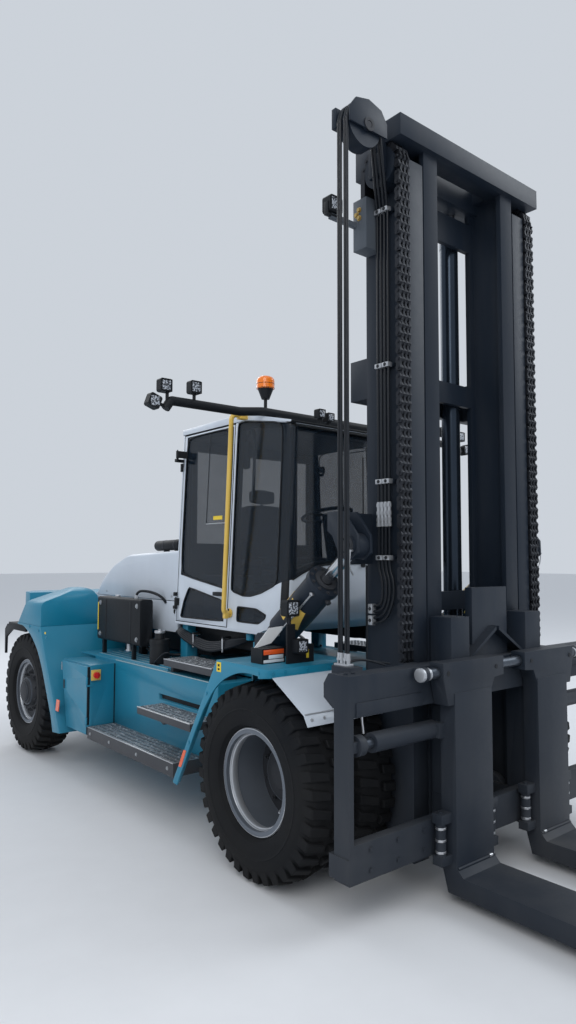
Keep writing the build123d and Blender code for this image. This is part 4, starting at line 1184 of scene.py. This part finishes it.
def makeLamps():
    for x, y, z, size, depth in lamps:
        h = size / 2
        face = y - depth / 2
        lens, frameIn, frameOut, rim, wide = h * 0.72, h * 0.74, h * 0.95, h * 0.9, h * 0.8
        for s in (-1, 1):
            px = s * x
            fit("lamp_lenses", "chassis", "lens",
                block((px - lens, px + lens), (face - 2, face + 2), (z - lens, z + lens), 1))
            deep = (face - 4, face + 2)
            for k in (-1, 1):
                fit("lamp_bezels", "chassis", "black",
                    block((px + k * frameIn, px + k * frameOut), deep, (z - rim, z + rim), 1),
                    block((px - rim, px + rim), deep, (z + k * frameIn, z + k * frameOut), 1))
            fin = block((px - wide, px - wide + 4), (y + depth / 2 - 1, y + depth / 2 + 9),
                        (z - h * 0.75, z + h * 0.75))
            fit("lamp_fins", "chassis", "black", arrayed(fin, 7, (h * 1.6 / 7, 0, 0)))
    for s in (-1, 1):
        fit("lamp_lenses", "chassis", "lens",
            block((s * 1573 - 30, s * 1573 + 30), (570, 573), (2776, 2836), 1))
        fit("box_lenses_orange", "chassis", "orange", block((s * 1008, s * 1158), (-3, 1), (1268, 1296), 1))
        fit("box_lenses_white", "chassis", "whiteLens",
            block((s * 1012, s * 1120), (-3, 1), (1242, 1264), 1),
            block((s * 1008, s * 1158), (-3, 1), (1221, 1238), 1))
        fit("lamp_cables", "chassis", "hose",
            hose([(s * 985, -60, 1360), (s * 1000, -40, 1300), (s * 990, -30, 1240),
                  (s * 975, -20, 1218)], 5),
            hose([(s * 1024, -50, 1500), (s * 1015, -40, 1440), (s * 1005, -55, 1380)], 5))
        fit("lamp_labels", "chassis", "yellowLabel", block((s * 880, s * 900), (-82, -80), (1240, 1290)))
    fit("beacon_stem", "chassis", "silver", hoop((*beacon, 2830), (*beacon, 2866), 22, 19, 24),
        hoop((*beacon, 2878), (*beacon, 2886), 15, 11, 24))
    fit("beacon_band", "chassis", "black",
        *[hoop((*beacon, z), (*beacon, z + 3), 65, 61) for z in (3034, 3066)])
    assemble()


print("lamps")
makeLamps()


# Front guards, fenders, steps, tanks and the cabinet
sideTrim = {
    "guardX": 1262,
    "fenderX": 1290,
    "tankX": 990,
    # (x from, x to), (y from, y to), top
    "steps": [((1000, 1222), (896, 2225), 470), ((1000, 1192), (740, 1446), 750),
              ((748, 992), (788, 1420), 1080)],
    "grip": 42,  # the grip rings' spacing
    "stepEdges": [(1229, 886, 2234, 469), (1199, 731, 1454, 749), (999, 779, 1427, 1079)],
    "bundle": 5,
    "lampPlate": [(-1166, 84, 1298), (-1040, 78, 1322), (-930, 78, 1420), (-1052, 84, 1412)],
}


def stepPads(x, y, top):
    # raised grip rings in rows, with an open middle
    (x0, x1), (y0, y1) = x, y
    columns, rows = (max(2, round((b - a) / sideTrim["grip"])) for a, b in (x, y))
    dx, dy = (x1 - x0) / columns, (y1 - y0) / rows
    px, py = x0 + dx / 2, y0 + dy / 2
    cup = hoop((px, py, top - 1), (px, py, top + 4), 13, 7, 8)
    hole = bar((px, py, top - 1), (px, py, top + 1), 7.5, 8)
    return [arrayed(arrayed(thing, columns, (dx, 0, 0)), rows, (0, dy, 0)) for thing in (cup, hole)]


def hoseBundle(s, k):
    # one of the hoses that sag below the cab's side
    return hose([(s * (700 + 8 * k), 1690, 1270 - 6 * k), (s * (738 + 4 * k), 1600, 1268 - 14 * k),
                 (s * (744 + 3 * k), 1404, 1226 - 15 * k), (s * (744 + 3 * k), 1200, 1196 - 14 * k),
                 (s * (740 + 3 * k), 1008, 1226 - 13 * k), (s * (728 - 6 * k), 820, 1262 - 6 * k),
                 (s * 660, 760, 1275)], 12)


def makeSideTrim():
    gx, fx, tx = (sideTrim[k] for k in ("guardX", "fenderX", "tankX"))
    for s in (-1, 1):
        fit("guard_labels", "chassis", "yellowLabel", sidePlate(s * gx, oblong((284, 330), (1146, 1204)), 3))
        fit("guard_label_marks", "chassis", "black",
            *[sidePlate(s * (gx + 1), oblong((297, 317), z), 3) for z in ((1156, 1168), (1178, 1192))])
        fit("guard_reflectors", "chassis", "orange",
            sidePlate(s * gx, [(668, 604), (700, 604), (760, 488), (728, 488)], 5))
        fit("fender_reflectors", "chassis", "orange",
            sidePlate(s * fx, [(2668, 622), (2730, 622), (2752, 524), (2690, 524)], 6))
        fit("fender_marks", "chassis", "yellowLabel",
            sidePlate(s * fx, oblong((3020, 3044), (1150, 1168)), 3))
        fit("fender_bolts", "chassis", "teal",
            *bolts([(s * fx, y, z) for y, z in ((3000, 1120), (3190, 1168), (3420, 1190))], (s, 0, 0), 11, 6))
        fit("guard_bolts", "chassis", "teal",
            *bolts([(s * x, -129, 1182) for x in (760, 930, 1100, 1190)], (0, -1, 0), 8, 5),
            *bolts([(s * gx, y, z) for y, z in ((-90, 1185), (440, 1000), (640, 660))], (s, 0, 0), 9, 5))
        fit("apron_bolts", "chassis", "silver",
            *bolts([(s * x, -414, 966) for x in (700, 880, 1060, 1150)], (0, -0.9, 0.45), 10, 7))
        fit("apron_seams", "chassis", "silver", block((s * 614, s * 1188), (-405, -398), (993, 1000), 1))
        fit("lamp_plates", "chassis", "label",
            plateBetween(*[[(-s * x, y + d, z) for x, y, z in sideTrim["lampPlate"]] for d in (0, 4)]))
        fit("slot_floors", "chassis", "black", block((s * (tx - 29), s * (tx - 26)), (884, 1506), (774, 809)))
        # the lighter teal rod and rib strips are painted highlights along the deck's edges
        fit("deck_edges", "chassis", "edge", bar((s * tx, 728, 984), (s * tx, 2236, 984), 4, 8),
            *[block((s * (x + 4), s * (x + 12)), (1444, 2636), (999, 1002), 1) for x in range(640, 980, 60)])
        for (x0, x1), y, z in sideTrim["steps"]:
            cup, hole = stepPads((x0, x1) if s > 0 else (-x1, -x0), y, z)
            fit("step_grips", "chassis", "tread", cup)
            fit("step_holes", "chassis", "black", hole)
        fit("step_edges", "chassis", "steel",
            *[bar((s * x, y0, z), (s * x, y1, z), 4, 8) for x, y0, y1, z in sideTrim["stepEdges"]])
        fit("step_bolts", "chassis", "galvanised",
            *bolts([(s * 1230, y, 424) for y in (960, 1400, 1840, 2180)], (s, 0, 0), 10, 6))
        fit("box_gaps", "chassis", "black", block((s * (tx - 2), s * (tx + 8)), (2245, 2251), (400, 952)))
        fit("hose_bundle", "chassis", "hose", *[hoseBundle(s, k) for k in range(sideTrim["bundle"])])
        for y in (1008, 1404):
            fit("hose_straps", "chassis", "steel",
                block((s * 758, s * 764), (y - 9, y + 9), (1150, 1246), 2),
                block((s * 700, s * 764), (y - 9, y + 9), (1243, 1249), 2))
            fit("strap_lugs", "chassis", "black",
                block((s * 690, s * 764), (y - 12, y + 12), (1249, 1262), 2))
        fit("cab_mounts", "chassis", "teal", bar((s * 706, 741, 1258), (s * 706, 741, 1306), 30, 24, 6))
        fit("cab_mount_caps", "chassis", "silver",
            bar((s * 706, 640, 1270), (s * 706, 640, 1308), 27, 24, 12))
        fit("under_cab", "chassis", "black", block((s * 560, s * 640), (600, 1640), (1170, 1300), 10))
        fit("deck_hoses", "chassis", "hose",
            hose([(s * 600, 1700, 1060), (s * 700, 1780, 1040), (s * 790, 1880, 1060),
                  (s * 820, 2020, 1090)], 13),
            hose([(s * 640, 1500, 1050), (s * 760, 1600, 1030), (s * 850, 1680, 1040),
                  (s * 860, 1720, 1060)], 10))
    fit("cabinet_handle", "cabinet_lid", "black", block((-1240, -1236), (2694, 2721), (715, 787), 1))
    fit("cabinet_seal", "chassis", "black", block((-1229, -1209), (2251, 2259), (402, 943)))
    fit("switch_plate", "chassis", "yellow", block((-1210, -1126), (2226, 2234), (834, 920), 3))
    fit("switch_knob", "chassis", "red", bar((-1168, 2200, 877), (-1168, 2226, 877), 26, 24, 3),
        block((-1174, -1162), (2192, 2202), (852, 902), 2))
    fit("cabinet_latch", "chassis", "silver", block((-1226, -1200), (2801, 2806), (858, 926), 2))
    for y, z in ((2300, 450), (2300, 900), (2600, 450), (2700, 900)):
        fit("left_box_bolts", "chassis", "teal", *bolts([(1230, y, z)], (1, 0, 0), 10, 6))
    assemble()


print("sides and steps")
makeSideTrim()


# Cab: rubber seals, hinges, the seat, the screen's sill and the monitor
cabForm = {
    "doorWindow": [(960, 1606), (1605, 1702), (1605, 2796), (960, 2796)],
    "doorPane": [(986, 1376), (986, 1520), (1474, 1605), (1539, 1495), (1575, 1383), (1563, 1370)],
    "lowPane": [(818, 1387), (818, 1491), (596, 1485), (489, 1450), (497, 1427), (567, 1387)],
    "screenSide": [(380, 1660), (553, 1594), (670, 1569), (760, 1568), (870, 1591), (904, 1609),
                   (904, 2815), (806, 2815), (380, 2748)],
    "brow": [(-664, 296, 2722), (0, 296, 2722), (664, 296, 2722)],
    "sill": [(690, 300, 1690), (590, 298, 1743), (452, 298, 1785), (260, 298, 1796)],
    "screenBar": [(900, 2770), (800, 2776), (742, 2740), (730, 2600), (728, 2240)],
}
seatShape = {
    "cushion": ((-255, 255), (1085, 1535), (1625, 1738)),
    "back": ((-235, 235), (1455, 1570), (1745, 2280)),
    "head": ((-130, 130), (1500, 1585), (2290, 2415)),
    "arms": ((268, 357), (1065, 1475), (1770, 1845)),
}


def cabSide(y, z, s=-1, out=0.0):
    return (s * (cabPlane["half"] - (z - cabPlane["floor"]) * cabPlane["lean"] + out), y, z)


def seal(outline, s, radius=5, out=1.0):
    # a rubber bead that follows an outline on the slanting side
    places = []
    for (y0, z0), (y1, z1) in zip(outline, outline[1:] + outline[:1]):
        for share in (0.06, 0.5, 0.94):
            places.append(cabSide(y0 + (y1 - y0) * share, z0 + (z1 - z0) * share, s, out))
    return hose(places, radius, True, 2)


def cushion(x, y, z, crown):
    # a stuffed pad: rounded, then crowned between its corners
    made = edited(block(x, y, z), (bpy.ops.mesh.subdivide, {"number_cuts": 5}))
    low, high = at(min(x), min(y), min(z)), at(max(x), max(y), max(z))
    centre, half = (low + high) / 2, (high - low) / 2
    for vertex in made.data.vertices:
        share = [(vertex.co[i] - centre[i]) / half[i] for i in range(3)]
        for i in range(3):
            others = [share[k] for k in range(3) if k != i]
            swell = (1 - others[0] ** 2) * (1 - others[1] ** 2)
            vertex.co[i] -= (1 - swell) * share[i] * crown / 1000
    select(made)
    soft = made.modifiers.new("soft", "SUBSURF")
    soft.levels = 1
    bpy.ops.object.modifier_apply(modifier="soft")
    return made


def makeSeat():
    pads = [cushion(*seatShape[part], crown) for part, crown in (("cushion", 16), ("back", 16), ("head", 14))]
    (x0, x1), armY, armZ = seatShape["arms"]
    pads += [cushion((s * x0, s * x1), armY, armZ, 9) for s in (-1, 1)]
    seams = [hose([(x, 1100, 1734), (x, 1300, 1737), (x, 1440, 1735)], 3) for x in (-120, 120)]
    seams += [hose([(x, 1459, 1800), (x, 1455, 2000), (x, 1459, 2240)], 3) for x in (-110, 110)]
    base = [block((-215, 215), (1145, 1545), (1362, 1500), 20),
            block((-180, 180), (1180, 1500), (1500, 1620), 12),
            block((-200, 200), (1560, 1600), (1760, 2260), 14),
            bar((0, 1545, 2230), (0, 1545, 2330), 12)]
    base += [block((s * 258, s * 275), (1205, 1395), (1645, 1780), 4) for s in (-1, 1)]
    piece(pads + seams, "seat_pads", "chassis", "seat", ["cab_seat"], 60)
    piece(base, "seat_base", "chassis", "black")


def makeCab():
    for side, s in (("right", -1), ("left", 1)):
        door = "door_" + side
        fit("door_seals_" + side, door, "black", seal(cabForm["doorWindow"], s), seal(cabForm["doorPane"], s))
        fit("screen_seals", "chassis", "black", seal(cabForm["screenSide"], s), seal(cabForm["lowPane"], s))
        fit("door_divider_" + side, door, "black",
            bar(cabSide(1286, 2790, s, -10), cabSide(1286, 2091, s, -10), 4, 8),
            bar(cabSide(1286, 2760, s, -10), cabSide(970, 2760, s, -10), 4, 8))
        fit("door_tracks_" + side, door, "steel",
            bar(cabSide(1286, 2091, s, -8), cabSide(966, 2091, s, -8), 3, 8))
        fit("door_notes_" + side, door, "yellowLabel",
            sidePlate(s * 733, oblong((1182, 1064), (2118, 2146)), 1.5))
        fit("cab_hinges", "chassis", "black", block((s * 700, s * 732), (1650, 1672), (2526, 2592), 3),
            *[block((s * 752, s * 782), (1646, 1676), z, 3) for z in ((1437, 1453), (1530, 1560))])
        fit("cab_locks", "chassis", "black", block((s * 742, s * 778), (1664, 1676), (1395, 1425), 3))
        fit("rail_feet", "chassis", "yellow",
            bar(cabSide(905, 1440, s, 2), cabSide(905, 1440, s, 14), 34, 20, 3),
            block((s * 800, s * 836), (868, 900), (1404, 1448), 6),
            block((s * 690, s * 772), (780, 836), (2826, 2840), 4))
        fit("rail_bolts", "chassis", "iron",
            *bolts([cabSide(905, z, s, 14) for z in (1418, 1462)], (s, 0, 0), 7, 6))
        fit("screen_bars", "chassis", "black",
            hose([cabSide(y, z, s, -30) for y, z in cabForm["screenBar"]], 11))
        fit("mirrors", "chassis", "black", block((s * 640, s * 668), (835, 900), (2480, 2680), 12),
            hose([(s * 650, 868, 2660), (s * 650, 860, 2720), (s * 640, 840, 2760)], 8))
    sill = cabForm["sill"]
    sill = [(-x, y, z) for x, y, z in sill] + [(0, 298, 1796)] + sill[::-1]
    fit("screen_seals", "chassis", "black", hose(cabForm["brow"], 8, False, 3), hose(sill, 6, False, 3))
    fit("wipers", "chassis", "black", bar((-40, 290, 1782), (60, 290, 2480), 5, 8),
        block((-44, -34), (286, 292), (1900, 2560), 2), bar((-40, 300, 1782), (-40, 284, 1782), 16, 16))
    fit("monitor", "chassis", "black", block((-560, -400), (600, 640), (1980, 2110), 10),
        hose([(-480, 620, 1985), (-470, 600, 1840), (-430, 560, 1700)], 12),
        block((-600, -440), (1000, 1060), (1740, 1960), 12),
        block((430, 600), (1000, 1500), (1360, 1760), 20))
    fit("monitor_face", "chassis", "lens", block((-550, -410), (596, 600), (1992, 2098), 2))
    fit("grab_blocks", "chassis", "iron", block((-650, -560), (1000, 1136), (2690, 2768), 8),
        block((-600, -440), (960, 1000), (1780, 1820), 4))
    fit("cab_console", "chassis", "charcoal", block((-620, -430), (1060, 1500), (1360, 1700), 20))
    assemble()


print("cab")
makeSeat()
makeCab()


# Hood, air box, canister and tail lamps
hoodTrim = {
    "half": 720,
    "boxX": 950,
    "pipeX": -640,
    "pipeSlope": 0.021,
    "canister": (-860, 1740),
    "boxHose": [(-892, 2080, 1524), (-890, 2060, 1556), (-850, 2000, 1560), (-790, 1940, 1540),
                (-740, 1900, 1500), (-722, 1890, 1460)],
    "wires": [[(-930, 1700, 1010), (-950, 1640, 1040), (-900, 1560, 1120), (-840, 1540, 1060),
               (-820, 1600, 1012)],
              [(-780, 1860, 1010), (-800, 1880, 1090), (-850, 1880, 1130), (-860, 1820, 1160)]],
    # name, finish, (x from, x to)
    "tailLamps": [("tail_lamps_red", "red", (780, 850)), ("tail_lamps_orange", "orange", (856, 904)),
                  ("tail_lamps_white", "whiteLens", (910, 950))],
}


def pipeBand(y):
    x, z = hoodTrim["pipeX"], 1942 - (y - 1790) * hoodTrim["pipeSlope"]
    return bar((x, y, z), (x, y + 16, z), 46, 24)


def makeHood():
    half, out, pipeX = hoodTrim["half"], hoodTrim["boxX"], hoodTrim["pipeX"]
    for s in (-1, 1):
        fit("hood_latches", "chassis", "black",
            block((s * half, s * (half + 10)), (1716, 1744), (1380, 1412), 3),
            block((s * half, s * (half + 9)), (2860, 2900), (1432, 1458), 3))
        fit("hood_side_bolts", "chassis", "silver",
            *bolts([(s * half, y, 1440) for y in (1760, 2200, 2640, 3060)], (s, 0, 0), 8, 5))
        fit("hood_edge_bolts", "hood", "silver",
            *bolts([(s * half, y, 1520) for y in (1800, 2400, 3000)], (s, 0, 0), 8, 5))
    fit("pipe_ends", "hood", "black", bar((pipeX, 2166, 1935), (pipeX, 2174, 1935), 30, 24))
    fit("pipe_bands", "hood", "iron", *[pipeBand(y) for y in (1846, 2026)])
    spots = [(-out, y, z) for y in (1960, 2635) for z in (1170, 1440)]
    fit("air_box_bolts", "chassis", "galvanised", *bolts(spots, (-1, 0, 0), 15, 9))
    fit("air_box_straps", "chassis", "black",
        *[block((-952, -948), (y, y + 26), (1140, 1472), 1) for y in (2060, 2520)])
    fit("air_box_marks", "chassis", "yellowLabel", block((-951.5, -948), (2672, 2686), (1200, 1440)))
    fit("air_box_top", "chassis", "silver", bar((-892, 2080, 1492), (-892, 2080, 1520), 18, 8),
        bar((-892, 2420, 1492), (-892, 2420, 1512), 24, 20, 4),
        bar((-892, 2080, 1518), (-892, 2080, 1530), 12, 8))
    fit("air_box_hose", "chassis", "hose", hose(hoodTrim["boxHose"], 11))
    fit("air_box_pipe", "chassis", "silver", bar((-900, 2180, 1118), (-900, 2180, 1060), 20, 16),
        bar((-900, 2180, 1070), (-900, 2180, 1054), 28, 16, 3))
    can = hoodTrim["canister"]
    fit("canister_cap", "chassis", "silver", bar((*can, 1236), (*can, 1258), 43, 24, 5),
        bar((*can, 1256), (*can, 1268), 14, 6))
    fit("canister_bands", "chassis", "black",
        *[hoop((*can, z), (*can, z + 14), 80.5, 76) for z in (1040, 1150)])
    fit("deck_wires", "chassis", "hose", *[hose(w, r) for w, r in zip(hoodTrim["wires"], (5, 9))])
    assemble()


def makeRear():
    for s in (-1, 1):
        fit("tail_plates", "chassis", "black", block((s * 770, s * 960), (4338, 4346), (1260, 1330), 4))
        for name, finish, (x0, x1) in hoodTrim["tailLamps"]:
            fit(name, "chassis", finish, block((s * x0, s * x1), (4344, 4351), (1268, 1322), 5))
    assemble()


print("hood and rear")
makeHood()
makeRear()


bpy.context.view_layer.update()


def makeFloor():
    clearSelection()
    bpy.ops.mesh.primitive_plane_add(size=160, location=(0, 0, 0))
    floor = bpy.context.object
    floor.name = "floor"
    finish = Finish("paleFloor", Roughness=0.9)
    finish.shader.inputs["Specular IOR Level"].default_value = 0.2
    speck = finish.noise(5, 6)
    tone = finish.mix(speck, shade(studio["floorColour"], 0.97), shade(studio["floorColour"], 1.03))
    finish.feed("Base Color", tone)
    floor.data.materials.append(finish.material)


makeFloor()
